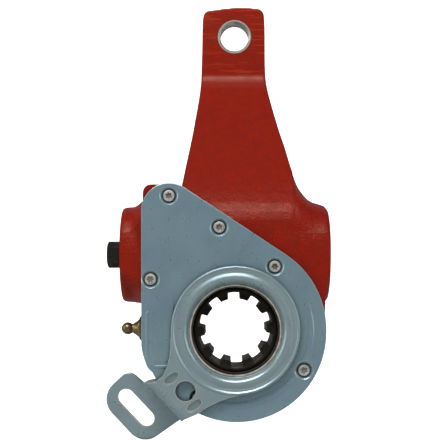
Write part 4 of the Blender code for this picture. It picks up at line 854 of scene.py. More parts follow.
def casting_blanks():
    """Every lump of the casting: barrel, body, rack block, cover land, shoulder, boss, lever and foot."""
    edge = 1.4 * MM
    flare = 4.4 * MM
    barrel = turned(
        [
            (0, BARREL_LEFT_X),
            (BARREL_R - 0.6 * edge, BARREL_LEFT_X),
            (BARREL_R, BARREL_LEFT_X + 1.6 * MM),
            (BARREL_R + 0.04 * flare, BARREL_LEFT_X + 6.0 * MM),
            (BARREL_R + 0.38 * flare, BARREL_LEFT_X + 8.4 * MM),
            (BARREL_R + 0.85 * flare, BARREL_LEFT_X + 10.6 * MM),
            (BARREL_R + flare, BLOCK_LEFT_X + 1.0 * MM),
            (BARREL_R, BLOCK_LEFT_X + 3 * flare),
            (BARREL_R, BARREL_RIGHT_X - edge),
            (BARREL_R - edge, BARREL_RIGHT_X),
            (0, BARREL_RIGHT_X),
        ],
        "X",
        (0, 0, WORM_Z),
        160,
    )
    far = 70 * MM
    under = WORM_Z - BARREL_R - 0.5 * MM
    boolean(barrel, box((-far, FRONT_Y - FACING, under), (far, BACK_Y + 0.2 * MM, 2 * far)), "INTERSECT")
    land = FRONT_Y + 5.0 * MM
    body = turned(
        [
            (0, FRONT_Y - 1.0 * MM),
            (BODY_R + 2.4 * MM, FRONT_Y - 1.0 * MM),
            (BODY_R + 2.4 * MM, land + 0.4 * MM),
            (BODY_R, land + 2.4 * MM),
            (BODY_R, BACK_Y - 14.0 * MM),
            (BODY_R - 2.4 * MM, BACK_Y - 9.2 * MM),
            (BODY_R - 6.0 * MM, BACK_Y - 5.2 * MM),
            (BODY_R - 10.5 * MM, BACK_Y - 2.0 * MM),
            (BODY_R - 14.5 * MM, BACK_Y),
            (0, BACK_Y),
        ],
        "Y",
        segments=192,
    )
    round_r = PLATE_CORNER_R - 0.6 * MM
    block = [(-20 * MM, -17.4 * MM)]
    block += arc(0, 0, round_r, 202.2, 194.5, 4)
    block.append((BLOCK_LEFT_X, -7.3 * MM))
    block += arc(BLOCK_LEFT_X + 4.0 * MM, 69.2 * MM, 4.0 * MM, 180, 90, 6)
    block += scaled([(-33, 73.2), (-30.5, 70), (-28, 62), (-20, 58)])
    shoulder = scaled(
        [(28, 32.5), (46.4, 32.5), (46.1, 22), (45.3, 18), (45.1, 10), (44.6, 4), (42, -1), (28, -1)]
    )
    return [
        barrel,
        body,
        prism(block, "Y", FRONT_Y - 1.5 * MM, -0.2 * MM),
        prism(plate_outline(1.0 * MM), "Y", FRONT_Y - 2.0 * MM, land),
        prism(shoulder, "Y", FRONT_Y - 0.7 * MM, 9.0 * MM),
        rod(7.4 * MM, "X", BLOCK_LEFT_X, -34.4 * MM, (0, NIPPLE_Y, 0)),
        lever_blank(),
        foot_fillet(),
    ]


def worm_bores():
    """The stepped bore of the barrel, for cap, clutch, worm, spring and end cover."""
    steps = [(18.1, -51.1), (16.4, -23.8), (WORM_TIP_R / MM + 0.4, 17.2), (12.95, 43.2), (16.1, 50)]
    profile = [(0, -60)]
    start = -60
    for radius, end in steps:
        profile += [(radius, start), (radius, end)]
        start = end
    profile.append((0, start))
    return turned(scaled(profile), "X", (0, 0, WORM_Z), 128)


def wheel_pocket():
    """The stepped pocket for the worm wheel, its hub and the back seal."""
    profile = [(0, -24), (32.0, -24), (32.0, 11.0), (21.55, 11.0), (21.55, 13.8), (24.4, 13.8)]
    profile += [(24.4, 24), (0, 24)]
    return turned(scaled(profile), "Y", segments=160)


class ADJUSTER_OT_casting(bpy.types.Operator):
    """Builds the lever and housing as one rough casting with its machined faces and bores"""

    bl_idname = "adjuster.casting"
    bl_label = "Casting"

    def execute(self, context):
        shape = context.scene.adjuster_shape
        skin = filled(casting_blanks(), shape.voxel, shape.fillet_passes)
        far = 120 * MM
        over = 1.0 * MM
        front = FRONT_Y - over
        facing = box((-far, FRONT_Y - 20 * MM, -far), (far, FRONT_Y, far))
        rack_slot = box((-39.35 * MM, front, -12.0 * MM), (-31.85 * MM, -10.25 * MM, 61.7 * MM))
        peg_slot = box((-33.1 * MM, front, -10.8 * MM), (-28.0 * MM, -19.45 * MM, 7.3 * MM))
        pin_hole = rod(2.3 * MM, "X", -60 * MM, -50.2 * MM, (0, 0, CAP_PIN_Z), 48)
        nipple_end = BLOCK_LEFT_X + 8.5 * MM
        nipple_hole = rod(4.0 * MM, "X", BLOCK_LEFT_X - over, nipple_end, (0, NIPPLE_Y, 0), 48)
        eye_hole = rod(9.8 * MM, "Y", EYE_FRONT_Y - 4 * over, EYE_BACK_Y + 4 * over, (0, 0, EYE_Z), 128)
        cut(skin, facing, wheel_pocket(), worm_bores(), rack_slot, peg_slot, pin_hole, nipple_hole, eye_hole)
        for _, x, z in screw_places():
            cut(skin, rod(2.0 * MM, "Y", front, FRONT_Y + 7.0 * MM, (x, 0, z), 32))
        dressed(skin, "lever_housing", "housing", "paint", 40)
        return {"FINISHED"}


# Cover plate and its screws


def bead(radius, width, height, start, end, base_y):
    """A raised pressed ridge along an arc, sinking into the sheet at both ends."""
    steps = 90
    sides = 12
    loops = []
    for step in range(steps + 1):
        t = step / steps
        fade = min(1.0, 4.0 * t, 4.0 * (1.0 - t))
        around = math.radians(start + (end - start) * t)
        loop = []
        for side in range(sides):
            turn = 2 * math.pi * side / sides
            r = radius + width / 2 * math.cos(turn)
            rise = height * math.sin(turn)
            if rise > 0:
                rise *= fade
            loop.append((r * math.cos(around), base_y - rise, r * math.sin(around)))
        loops.append(loop)
    return lofted(loops)


class ADJUSTER_OT_cover(bpy.types.Operator):
    """Builds the pressed cover with its ridge, its raised rack pad and its sunk screw seats"""

    bl_idname = "adjuster.cover"
    bl_label = "Cover"

    def execute(self, context):
        shape = context.scene.adjuster_shape
        blanks = [prism(plate_outline(0.0), "Y", PLATE_FRONT_Y, PLATE_BACK_Y)]
        # Two steps of the rack's pad, each fading out towards its top
        sunk = PLATE_BACK_Y - 0.6 * MM
        for left, low, rise in ((-44.9, -18.4, 0.22), (-42.6, -15.2, 0.42)):
            face = PLATE_FRONT_Y - rise * MM
            pad = [(left, 8), (left, low + 5), (left + 0.9, low + 2), (left + 2.6, low + 0.5)]
            pad += [(left + 5, low), (-31, low), (-31, 8)]
            blanks.append(prism(scaled(pad), "Y", face, sunk))
            fade = [(face + rise * MM * eased(step / 8), (7.8 + 2 * step) * MM) for step in range(9)]
            fade += [(sunk, 23.8 * MM), (sunk, 7.8 * MM)]
            slope = prism([(z, -y) for y, z in fade], "X", left * MM, -31 * MM)
            slope.data.transform(Matrix.Rotation(math.radians(90), 4, "X"))
            blanks.append(slope)
        # Left, right, bottom and top of the pad's three ribs
        ribs = ((-44.6, -43.5, -13.5, 9), (-41.0, -34.4, -15.7, -14.7), (-40.4, -33.6, -18.7, -17.7))
        crest = PLATE_FRONT_Y - 0.46 * MM
        for left, right, low, high in ribs:
            blanks.append(box((left * MM, crest, low * MM), (right * MM, sunk, high * MM)))
        blanks.append(bead(37.6 * MM, 3.2 * MM, 0.6 * MM, -112, 52, PLATE_FRONT_Y + 0.05 * MM))
        skin = filled(blanks, shape.voxel * 0.5, 3)
        over = 1.0 * MM
        far = 80 * MM
        behind = box((-far, PLATE_BACK_Y, -far), (far, PLATE_BACK_Y + 9 * MM, far))
        hole = rod(27.4 * MM, "Y", PLATE_FRONT_Y - over, PLATE_BACK_Y + over, segments=160)
        cut(skin, behind, hole)
        front, back = PLATE_FRONT_Y / MM, PLATE_BACK_Y / MM
        seat = [(0, front - 1), (4.9, front - 1), (4.6, front + 0.02), (4.1, front + 0.35)]
        seat += [(3.6, front + 0.95), (2.4, back - 0.2), (2.4, back + 1), (0, back + 1)]
        for _, x, z in screw_places():
            cut(skin, turned(scaled(seat), "Y", (x, 0, z), 64))
        dressed(skin, "cover_plate", "housing", "zinc", 40)
        return {"FINISHED"}


def six_lobes(radius, depth_ratio, turn, steps=60):
    """The outline of a six-lobed socket."""
    points = []
    for step in range(steps):
        angle = 2 * math.pi * step / steps
        r = radius * (1 - depth_ratio * (0.5 - 0.5 * math.cos(6 * angle)))
        points.append((r * math.cos(angle + turn), r * math.sin(angle + turn)))
    return points


class ADJUSTER_OT_screws(bpy.types.Operator):
    """Builds the six cover screws with rounded heads and six-lobed sockets"""

    bl_idname = "adjuster.screws"
    bl_label = "Screws"

    def execute(self, context):
        for number, (name, x, z) in enumerate(screw_places()):
            head = PLATE_FRONT_Y / MM - 0.05
            profile = [(0, head), (2.2, head), (2.65, head + 0.12), (2.9, head + 0.5), (2.9, head + 0.8)]
            profile += [(1.9, head + 1.9), (1.9, -16.8), (1.5, -16.4), (0, -16.4)]
            screw = turned(scaled(profile), "Y", (x, 0, z), 64)
            lobes = six_lobes(1.75 * MM, 0.26, number * 0.7)
            socket = prism([(x + a, z + b) for a, b in lobes], "Y", (head - 1) * MM, (head + 1.3) * MM)
            cone = scaled([(0, head - 1), (1.7, head - 0.2), (1.2, head + 0.2), (0, head + 0.2)])
            cut(screw, turned(cone, "Y", (x, 0, z), 48), socket)
            dressed(screw, name, "housing", "screw", 28)
        return {"FINISHED"}


# Control arm, hub and wheel


def tail(reach, along):
    """X and Z of a point on the arm's tail: how far out, and how far across it."""
    out = (math.cos(TAIL_ANGLE), math.sin(TAIL_ANGLE))
    return ((out[0] * reach - out[1] * along) * MM, (out[1] * reach + out[0] * along) * MM)


def arm_outline():
    """The outline of the flat parts of the control arm, ring side and foot side together."""
    outline = scaled([(-32.3, -4.0), (-32.7, -12.0), (-34.1, -18.0), (-36.4, -22.6), (-39.6, -25.2)])
    foot = [(51.7, -11.7), (53.5, -12.0), (54.1, -18.0), (54.9, -20.4), (56.6, -21.8), (58.6, -22.4)]
    foot += arc(65.7, -11.9, 10.6, -90, 0, 14) + arc(65.7, 2.2, 10.6, 0, 75, 12)
    foot += [(51.9, 14.8), (48.9, 14.8)]
    outline += [tail(reach, along) for reach, along in foot]
    outline += scaled([(-19.3, -41.6), (-14.2, -38.2), (-9.0, -35.6), (-3.2, -33.5)])
    return outline + arc(0, 0, 32.2 * MM, -84, 182, 110)


def joggled_sheet():
    """The bent sheet, from the ring's plane back to the foot's plane."""
    bend, inner = 4.8, 0.4
    front, back, foot = SHEET_FRONT_Y / MM + 0.6, SHEET_FRONT_Y / MM + 4.0, -7.7
    profile = [(-40, front)]
    profile += arc(50.9 - bend, front + bend, bend, -90, 0, 14)
    profile += arc(50.9 + inner, foot - inner, inner, 180, 90, 5)
    profile += [(85, foot), (85, foot + 4.0)]
    profile += arc(46.9 + bend, foot + 4.0 - bend, bend, 90, 180, 14)
    profile += arc(46.9 - inner, back + inner, inner, 0, -90, 5)
    profile.append((-40, back))
    sheet = prism(scaled(profile), "Z", -60 * MM, 60 * MM)
    sheet.data.transform(Matrix.Rotation(-TAIL_ANGLE, 4, "Y"))
    return sheet


class ADJUSTER_OT_arm(bpy.types.Operator):
    """Builds the pressed control arm: rolled ring, raised rim, joggled tail and slotted foot"""

    bl_idname = "adjuster.arm"
    bl_label = "Control arm"

    def execute(self, context):
        shape = context.scene.adjuster_shape
        sheet = joggled_sheet()
        boolean(sheet, prism(arm_outline(), "Y", -32 * MM, 0.0), "INTERSECT")
        front = SHEET_FRONT_Y
        back = SHEET_FRONT_Y + 4.0 * MM
        boolean(sheet, rod(29.6 * MM, "Y", front - 2 * MM, back + 2 * MM, segments=128), "DIFFERENCE")
        # Rim, valley and rolled lip of the ring, turned from one section
        rim = [(32.15, 1.0), (32.0, 0.3), (31.6, 0.0), (31.1, 0.0), (30.7, 0.35), (30.3, 0.75)]
        valley = [(29.6, 0.9), (28.9, 0.8), (28.1, 0.5), (27.2, 0.15)]
        lip = [(26.4, 0.0), (25.6, 0.15), (24.9, 0.6), (24.2, 1.3), (23.6, 2.1), (23.2, 2.9)]
        section = scaled(rim + valley + lip + [(23.2, 4.0), (32.15, 4.0)])
        ring = turned([(r, front + y) for r, y in section], "Y", segments=192)
        skin = filled([sheet, ring], shape.voxel * 0.5, 4, 0.4)
        over = 1.0 * MM
        slot = arc(65.3, 2.2, 4.3, 0, 180, 24) + arc(65.3, -12.8, 4.3, 180, 360, 24)
        tools = [
            prism([tail(reach, along) for reach, along in slot], "Y", -9 * MM, -2 * MM),
            rod(5.1 * MM, "Y", front - over, back + over, (-24.9 * MM, 0, -30.0 * MM), 64),
        ]
        # Two shallow ovals pressed into the neck of the tail
        for x, z in ((-32.0, -23.8), (-20.6, -37.2)):
            bowl = scaled([(0, -1.0), (1.30, -0.9), (1.38, 0), (1.15, 1.2), (0, 1.5)])
            dent = turned(bowl, "Y", segments=48)
            lean = Matrix.Rotation(math.radians(-40), 4, "Y")
            size = Matrix.Diagonal((3.1, 1.0, 1.6, 1.0))
            dent.data.transform(Matrix.Translation((x * MM, front + 0.6 * MM, z * MM)) @ lean @ size)
            tools.append(dent)
        cut(skin, *tools)
        dressed(skin, "control_arm", "control", "arm_zinc", 40)
        return {"FINISHED"}


class ADJUSTER_OT_hub(bpy.types.Operator):
    """Builds the control hub, whose bright front edge shows inside the ring"""

    bl_idname = "adjuster.hub"
    bl_label = "Control hub"

    def execute(self, context):
        front = SHEET_FRONT_Y / MM + 2.9
        flange = SHEET_FRONT_Y / MM + 4.1
        bore = HUB_BORE_R / MM
        profile = [(bore, front + 0.25), (22.1, front + 0.05), (22.5, front), (22.9, front + 0.05)]
        profile += [(23.1, front + 0.3), (23.1, flange), (25.3, flange), (25.3, -22.6), (24.1, -22.6)]
        profile += [(24.1, -19.7), (bore, -19.7)]
        hub = turned(scaled(profile), "Y", segments=192)
        dressed(hub, "control_hub", "control", "hub", 30)
        return {"FINISHED"}


def gear_outline():
    """The worm wheel's teeth as (angle, radius) pairs with involute flanks."""
    pitch_r = WHEEL_PITCH_R
    base_r = pitch_r * math.cos(PRESSURE_ANGLE)
    tip_r = pitch_r + MODULE
    root_r = pitch_r - 1.25 * MODULE
    half_tooth = (math.pi * MODULE / 2 - TOOTH_PLAY) / (2 * pitch_r)

    def roll(radius):
        """How far the involute has turned away from its base circle at a radius."""
        ratio = max(radius / base_r, 1.0)
        return math.sqrt(ratio * ratio - 1) - math.acos(1 / ratio)

    flank = [base_r, (base_r + pitch_r) / 2, pitch_r, (pitch_r + tip_r) / 2, tip_r]
    points = []
    for tooth in range(WHEEL_TEETH):
        middle = 2 * math.pi * tooth / WHEEL_TEETH
        points.append((middle - math.pi / WHEEL_TEETH, root_r))
        points += [(middle - half_tooth - roll(pitch_r) + roll(radius), radius) for radius in flank]
        points += [(middle + half_tooth + roll(pitch_r) - roll(radius), radius) for radius in reversed(flank)]
    return points


def spline_cutter(front, back):
    """The ten-slot spline with rounded corners, and a chamfer at each mouth."""
    low, high = SPLINE_MINOR_R, SPLINE_MAJOR_R
    corners = []
    for slot in range(SPLINE_SLOTS):
        middle = SPLINE_TURN + 2 * math.pi * slot / SPLINE_SLOTS
        for radius, side in ((low, -1), (high, -1), (high, 0), (high, 1), (low, 1)):
            corners.append((radius, middle + side * math.asin(SPLINE_HALF_SLOT / radius)))
        for step in (-0.35, 0.0, 0.35):
            corners.append((low, middle + math.pi / SPLINE_SLOTS * (1 + step)))
    outline = [(radius * math.cos(angle), radius * math.sin(angle)) for radius, angle in corners]
    cutter = prism(rounded_loop(outline, 0.7 * MM), "Y", front - 2 * MM, back + 2 * MM)
    mouth = 0.6 * MM
    wide = SPLINE_MAJOR_R
    for end, way in ((front, -1), (back, 1)):
        profile = [(0, end + way * 2 * MM), (wide + mouth, end + way * 2 * MM), (wide + mouth, end)]
        profile += [(wide - mouth, end - way * mouth), (0, end - way * mouth)]
        boolean(cutter, turned(profile, "Y", segments=192), "UNION", "MANIFOLD")
    return cutter


def rounded_loop(points, radius, steps=3):
    """A closed outline with every corner sharper than a slight bend rounded."""
    result = []
    for index, point in enumerate(points):
        here = Vector(point)
        into = Vector(points[index - 1]) - here
        away = Vector(points[(index + 1) % len(points)]) - here
        turn = into.angle(away)
        size = min(radius / math.tan(turn / 2), into.length * 0.45, away.length * 0.45)
        if turn > math.radians(160):
            result.append(point)
            continue
        first = here + into.normalized() * size
        last = here + away.normalized() * size
        for step in range(steps + 1):
            t = step / steps
            result.append(tuple(first * (1 - t) ** 2 + here * 2 * t * (1 - t) + last * t * t))
    return result


class ADJUSTER_OT_wheel(bpy.types.Operator):
    """Builds the worm wheel with its helical teeth, hub and splined bore"""

    bl_idname = "adjuster.wheel"
    bl_label = "Worm wheel"

    def execute(self, context):
        twist = MODULE / (2 * WORM_PITCH_R) / WHEEL_PITCH_R
        half_gap = math.pi / WHEEL_TEETH
        loops = []
        for y in (-10.5 * MM, -3.5 * MM, 3.5 * MM, 10.5 * MM):
            turns = [(half_gap + angle + y * twist, radius) for angle, radius in gear_outline()]
            loops.append([(radius * math.sin(angle), y, radius * math.cos(angle)) for angle, radius in turns])
        wheel = lofted(loops)
        front, back = -20.0 * MM, 17.8 * MM
        hub = [(0, front), (20.6 * MM, front), (21.1 * MM, front + 0.2 * MM), (21.3 * MM, front + 0.7 * MM)]
        hub += [(21.3 * MM, back - 0.7 * MM), (21.1 * MM, back - 0.2 * MM), (20.6 * MM, back), (0, back)]
        boolean(wheel, turned(hub, "Y", segments=192), "UNION", "MANIFOLD")
        cut(wheel, spline_cutter(front, back))
        dressed(wheel, "worm_wheel", "wheel", "black", 30)
        return {"FINISHED"}


# Small pieces at the barrel's ends, the nipple and the eye


class ADJUSTER_OT_cap(bpy.types.Operator):
    """Builds the screwed worm cap with its pin dimples, its lock pin and its seal"""

    bl_idname = "adjuster.cap"
    bl_label = "Worm cap"

    def execute(self, context):
        axis = (0, 0, WORM_Z)
        front, back = -58.0, -51.2
        seal = front + 2.4
        # The flat face has loops close to its edges, which keep its shading flat
        profile = [(7.65, front + 1.0), (8.3, front + 0.9), (8.7, front + 0.15), (9.0, front), (9.3, front)]
        profile += [(16.0, front), (16.3, front), (16.7, front + 0.15), (16.9, front + 0.7)]
        profile += [(17.3, front + 0.7), (17.5, front + 0.1), (17.8, front + 0.1), (18.0, front + 0.5)]
        profile += [(18.0, back), (7.65, back), (7.65, seal + 2.5), (9.4, seal + 2.5), (9.4, seal - 0.1)]
        profile.append((7.65, seal - 0.1))
        cap = turned(scaled(profile), "X", axis, 144)
        dimple = [(0, front - 1), (3.2, front - 1), (2.9, front), (2.6, front + 0.3), (2.5, front + 2.6)]
        dimple.append((0, front + 3.0))
        for side in (-1, 1):
            cut(cap, turned(scaled(dimple), "X", (0, side * 12.5 * MM, WORM_Z), 48))
        pin_place = (0, 0, CAP_PIN_Z)
        cut(cap, rod(2.3 * MM, "X", (front - 1) * MM, (back + 1) * MM, pin_place, 48))
        dressed(cap, "worm_cap", "housing", "cap_zinc", 30)
        head = [(0, front - 0.2), (1.5, front - 0.2), (2.0, front), (2.2, front + 0.4), (2.2, back - 0.4)]
        head.append((0, back - 0.4))
        pin = turned(scaled(head), "X", pin_place, 48)
        dressed(pin, "cap_lock_pin", "housing", "steel", 30)
        lip = [(7.5, seal), (7.7, seal - 0.02), (9.0, seal), (9.2, seal + 0.2), (9.2, seal + 2.4)]
        lip.append((7.5, seal + 2.4))
        ring = turned(scaled(lip), "X", axis, 96)
        dressed(ring, "shaft_seal", "housing", "rubber", 30)
        return {"FINISHED"}


def hexagon_bar(across, low, high, round_off, centre):
    """A hexagon along X whose corners are turned down to a profile."""
    corner = across / math.sqrt(3)
    bar = turned([(0, low), (corner, low), (corner, high), (0, high)], "X", centre, 6, math.pi / 2)
    return boolean(bar, turned(round_off, "X", centre, 96), "INTERSECT", "MANIFOLD")


class ADJUSTER_OT_shaft(bpy.types.Operator):
    """Builds the worm shaft with its chamfered hexagon, journal, thread and tail"""

    bl_idname = "adjuster.shaft"
    bl_label = "Worm shaft"

    def execute(self, context):
        axis = (0, 0, WORM_Z)
        end, root = -66.7, -59.7
        profile = [(0, root - 0.5), (6.6, root), (7.2, root + 0.3), (7.4, root + 0.9), (7.4, -24.5)]
        profile += [(8.9, -24.5), (8.9, -17.3), (6.75, -15.7), (6.75, 15.0), (6.0, 16.0), (6.0, 45.3)]
        profile.append((0, 45.3))
        core = turned(scaled(profile), "X", axis, 96)
        round_off = [(0, end), (5.5, end), (5.9, end + 0.1), (7.0, end + 0.75), (7.4, end + 1.3)]
        round_off += [(7.4, root + 1), (0, root + 1)]
        low, high = end * MM, (root + 0.4) * MM
        hexagon = hexagon_bar(HEXAGON_ACROSS, low, high, scaled(round_off), axis)
        boolean(core, hexagon, "UNION", "MANIFOLD")
        boolean(core, self.thread(), "UNION", "MANIFOLD")
        drill = [(0, end - 1), (2.2, end - 1), (1.9, end + 0.1), (1.5, end + 0.8), (1.4, end + 2.0)]
        drill.append((0, end + 3))
        cut(core, turned(scaled(drill), "X", axis, 48))
        dressed(core, "worm_shaft", "worm", "hexagon", 30)
        return {"FINISHED"}

    def thread(self):
        """The worm's thread, swept along its helix and sunk into the core."""
        pitch = math.pi * MODULE
        length = 27.0 * MM
        half = (pitch / 2 - TOOTH_PLAY) / 2
        sunk = 6.45 * MM
        section = []
        for radius, side in ((sunk, -1), (WORM_TIP_R, -1), (WORM_TIP_R, 1), (sunk, 1)):
            section.append((side * (half - (radius - WORM_PITCH_R) * math.tan(PRESSURE_ANGLE)), radius))
        steps = 48
        count = int((length - 2 * section[-1][0]) / pitch * steps)
        loops = []
        for step in range(-count // 2, count // 2 + 1):
            angle = 2 * math.pi * step / steps
            middle = pitch * step / steps
            loop = []
            for shift, radius in section:
                loop.append((middle + shift, radius * math.sin(angle), WORM_Z - radius * math.cos(angle)))
            loops.append(loop)
        return lofted(loops)


class ADJUSTER_OT_nipple(bpy.types.Operator):
    """Builds the grease nipple: chamfered hexagon, hollow cone and round head"""

    bl_idname = "adjuster.nipple"
    bl_label = "Grease nipple"

    def execute(self, context):
        centre = (0, NIPPLE_Y, 0)
        seat = -46.7
        tip = seat - 12.6
        ball_r = 3.2
        ball = tip + ball_r
        front = seat - 3.4
        profile = [(0, -38.6), (3.6, -38.6), (3.9, -39.0), (3.9, front + 0.4), (4.75, front + 0.4)]
        profile += [(4.6, front - 0.3), (3.9, front - 1.1), (3.2, front - 2.0), (2.7, front - 2.9)]
        profile += [(2.4, ball + 3.0), (2.3, ball + 2.5), (2.5, ball + 2.1)]
        profile += arc(0, ball, ball_r, 34, -66, 10)
        profile += [(1.1, tip + 0.05), (0.85, tip), (0.7, tip + 0.15), (0.55, tip + 0.8), (0, tip + 0.9)]
        body = turned(scaled(profile), "X", centre, 72)
        round_off = [(0, front), (5.1, front), (5.5, front + 0.15), (6.35, front + 0.65), (6.35, seat - 0.3)]
        round_off += [(6.1, seat), (0, seat)]
        hexagon = hexagon_bar(NIPPLE_ACROSS, front * MM, seat * MM, scaled(round_off), centre)
        boolean(body, hexagon, "UNION", "MANIFOLD")
        dressed(body, "grease_nipple", "housing", "yellow", 28)
        return {"FINISHED"}


class ADJUSTER_OT_rounds(bpy.types.Operator):
    """Builds the clevis bush, the barrel's end cover and the two seals of the hubs"""

    bl_idname = "adjuster.rounds"
    bl_label = "Round pieces"

    def execute(self, context):
        front, back = EYE_FRONT_Y / MM + 0.05, EYE_BACK_Y / MM - 0.05
        bush = [(8.9, front), (9.5, front), (9.7, front + 0.2), (9.7, back - 0.2), (9.5, back), (8.9, back)]
        bush += [(8.6, back - 0.25), (8.0, back - 0.7), (8.0, front + 0.7), (8.6, front + 0.25)]
        piece = turned(scaled(bush), "Y", (0, 0, EYE_Z), 144)
        dressed(piece, "clevis_bush", "housing", "bush", 30)
        lid = [(0, 45.7), (6.25, 45.7), (6.25, 43.3), (16.0, 43.3), (16.0, 46.9), (15.8, 47.3), (15.3, 47.5)]
        lid += [(12.4, 47.5), (12.0, 47.3), (11.6, 46.9), (0, 46.9)]
        piece = turned(scaled(lid), "X", (0, 0, WORM_Z), 128)
        dressed(piece, "spring_end_cover", "housing", "paint", 30)
        seal = [(21.55, 14.1), (24.3, 13.9), (24.3, 17.1), (24.0, 17.5), (23.2, 17.5), (22.6, 16.6)]
        seal += [(21.9, 17.3), (21.55, 17.0)]
        piece = turned(scaled(seal), "Y", segments=144)
        dressed(piece, "back_seal", "housing", "rubber", 30)
        lip = [(25.55, -24.6), (25.9, -24.9), (26.9, -24.9), (27.3, -24.6), (27.3, -23.1), (25.55, -23.1)]
        piece = turned(scaled(lip), "Y", segments=144)
        dressed(piece, "front_seal", "housing", "rubber", 30)
        return {"FINISHED"}


# Finishes of the other nodes, and the stage


class ADJUSTER_OT_finishes(bpy.types.Operator):
    """Builds every finish, and dresses the nodes that keep their own shape"""

    bl_idname = "adjuster.finishes"
    bl_label = "Finishes"

    def execute(self, context):
        make_materials()
        plain = {
            "lever_housing": "paint",
            "spring_end_cover": "paint",
            "clevis_bush": "bush",
            "cover_plate": "zinc",
            "control_arm": "zinc",
            "control_hub": "steel",
            "worm_cap": "cap_zinc",
            "grease_nipple": "yellow",
            "worm_wheel": "black",
            "worm_shaft": "hexagon",
        }
        for name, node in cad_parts.items():
            finish = plain.get(name, "steel")
            if name.startswith("screw"):
                finish = "screw"
            if "seal" in name or "gasket" in name:
                finish = "rubber"
            if not node.material_slots:
                node.data.materials.append(MATERIALS[finish])
            for slot in node.material_slots:
                slot.material = MATERIALS[finish]
        return {"FINISHED"}


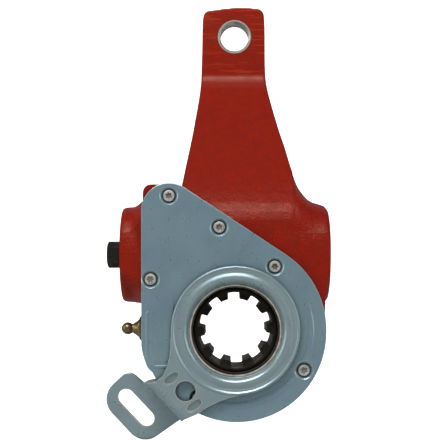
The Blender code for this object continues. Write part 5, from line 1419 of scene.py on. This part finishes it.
class ADJUSTER_OT_stage(bpy.types.Operator):
    """Builds the pale floor, the studio light and the camera"""

    bl_idname = "adjuster.stage"
    bl_label = "Stage"

    def execute(self, context):
        stage = context.scene.adjuster_stage
        floor_z = CAD_BOX[0][2] - 0.3 * MM
        near, far, high = -1.6, 0.75, 1.8
        bend = 0.5
        line = [(near, floor_z), (far - bend, floor_z)]
        line += arc(far - bend, floor_z + bend, bend, -90, 0, 16)[1:]
        line.append((far, high))
        bm = bmesh.new()
        rows = [[bm.verts.new((x, y, z)) for x in (-2.5, 2.5)] for y, z in line]
        for low, up in zip(rows, rows[1:]):
            bm.faces.new([low[0], low[1], up[1], up[0]])
        floor = from_bmesh(bm, "studio_floor")
        floor.data.shade_smooth()
        material, tree, shader, place = blank_material("studio_paper")
        fibre = add(tree, "ShaderNodeTexNoise", sockets={"Vector": place, "Scale": 60.0, "Detail": 5.0})
        shade = blended(tree, fibre.outputs["Fac"], (0.80, 0.80, 0.80, 1.0), (0.86, 0.86, 0.86, 1.0))
        shader.inputs["Roughness"].default_value = 0.85
        bumped(tree, shader, fibre.outputs["Fac"], 0.1, 0.2 * MM)
        # White to the camera, and a mid grey in the part's reflections
        path = tree.nodes.new("ShaderNodeLightPath")
        dim = blended(tree, path.outputs["Is Glossy Ray"], shade, (0.30, 0.30, 0.30, 1.0))
        tree.links.new(dim, shader.inputs["Base Color"])
        shader.inputs["Emission Color"].default_value = (1.0, 1.0, 0.985, 1.0)
        tree.links.new(path.outputs["Is Camera Ray"], shader.inputs["Emission Strength"])
        floor.data.materials.append(material)

        def softbox(name, place, aim, width, height, power):
            """A rectangular light that faces a point."""
            light = bpy.data.lights.new(name, "AREA")
            light.shape = "RECTANGLE"
            light.size = width
            light.size_y = height
            light.energy = power
            lamp = bpy.data.objects.new(name, light)
            lamp.location = place
            lamp.rotation_euler = (Vector(aim) - Vector(place)).to_track_quat("-Z", "Y").to_euler()
            context.scene.collection.objects.link(lamp)

        middle = (0.0, 0.0, 0.05)
        softbox("key_softbox", (-0.15, -0.65, 0.92), middle, 0.8, 0.45, stage.key_light)
        softbox("left_softbox", (-0.95, -0.25, 0.25), middle, 0.4, 0.8, stage.fill_light)
        softbox("right_softbox", (0.9, -0.45, 0.2), middle, 0.4, 0.8, stage.fill_light)
        world = bpy.data.worlds.new("studio_surround")
        world.use_nodes = True
        surround = world.node_tree.nodes["Background"]
        surround.inputs["Color"].default_value = (1.0, 1.0, 1.0, 1.0)
        # White behind the part, and the surround's own strength for everything else
        path = world.node_tree.nodes.new("ShaderNodeLightPath")
        level = maths(world.node_tree, "MAXIMUM", path.outputs["Is Camera Ray"], stage.sky)
        world.node_tree.links.new(level, surround.inputs["Strength"])
        context.scene.world = world

        camera = bpy.data.objects.new("camera", bpy.data.cameras.new("camera"))
        camera.data.sensor_width = 36.0
        camera.data.lens = stage.lens
        camera.data.shift_x = stage.shift_x
        camera.data.shift_y = stage.shift_y
        camera.data.clip_start = 0.01
        camera.data.clip_end = 20.0
        camera.location = (stage.side, -stage.distance, stage.height)
        camera.rotation_euler = (math.pi / 2, 0.0, 0.0)
        context.scene.collection.objects.link(camera)
        context.scene.camera = camera
        context.scene.view_settings.view_transform = "Standard"
        return {"FINISHED"}


class ADJUSTER_PT_panel(bpy.types.Panel):
    """Settings and steps of the adjuster's looks."""

    bl_label = "Slack Adjuster"
    bl_idname = "ADJUSTER_PT_panel"
    bl_space_type = "VIEW_3D"
    bl_region_type = "UI"
    bl_category = "Adjuster"

    def draw(self, context):
        layout = self.layout
        for group_name in ("adjuster_finish", "adjuster_shape", "adjuster_stage"):
            settings = getattr(context.scene, group_name)
            column = layout.box().column()
            for name in settings.__annotations__:
                column.prop(settings, name)
        for step in STEPS:
            layout.operator(step.bl_idname)


STEPS = (
    ADJUSTER_OT_finishes,
    ADJUSTER_OT_casting,
    ADJUSTER_OT_cover,
    ADJUSTER_OT_screws,
    ADJUSTER_OT_arm,
    ADJUSTER_OT_hub,
    ADJUSTER_OT_wheel,
    ADJUSTER_OT_cap,
    ADJUSTER_OT_shaft,
    ADJUSTER_OT_nipple,
    ADJUSTER_OT_rounds,
    ADJUSTER_OT_stage,
)
SETTINGS = {
    "adjuster_finish": FinishSettings,
    "adjuster_shape": ShapeSettings,
    "adjuster_stage": StageSettings,
}


def register():
    for cls in (*SETTINGS.values(), *STEPS, ADJUSTER_PT_panel):
        bpy.utils.register_class(cls)
    for name, cls in SETTINGS.items():
        setattr(bpy.types.Scene, name, PointerProperty(type=cls))


def unregister():
    for name in SETTINGS:
        delattr(bpy.types.Scene, name)
    for cls in (ADJUSTER_PT_panel, *reversed(STEPS), *SETTINGS.values()):
        bpy.utils.unregister_class(cls)


def main():
    register()
    for step in STEPS:
        area, name = step.bl_idname.split(".")
        getattr(getattr(bpy.ops, area), name)()


if __name__ == "__main__":
    main()
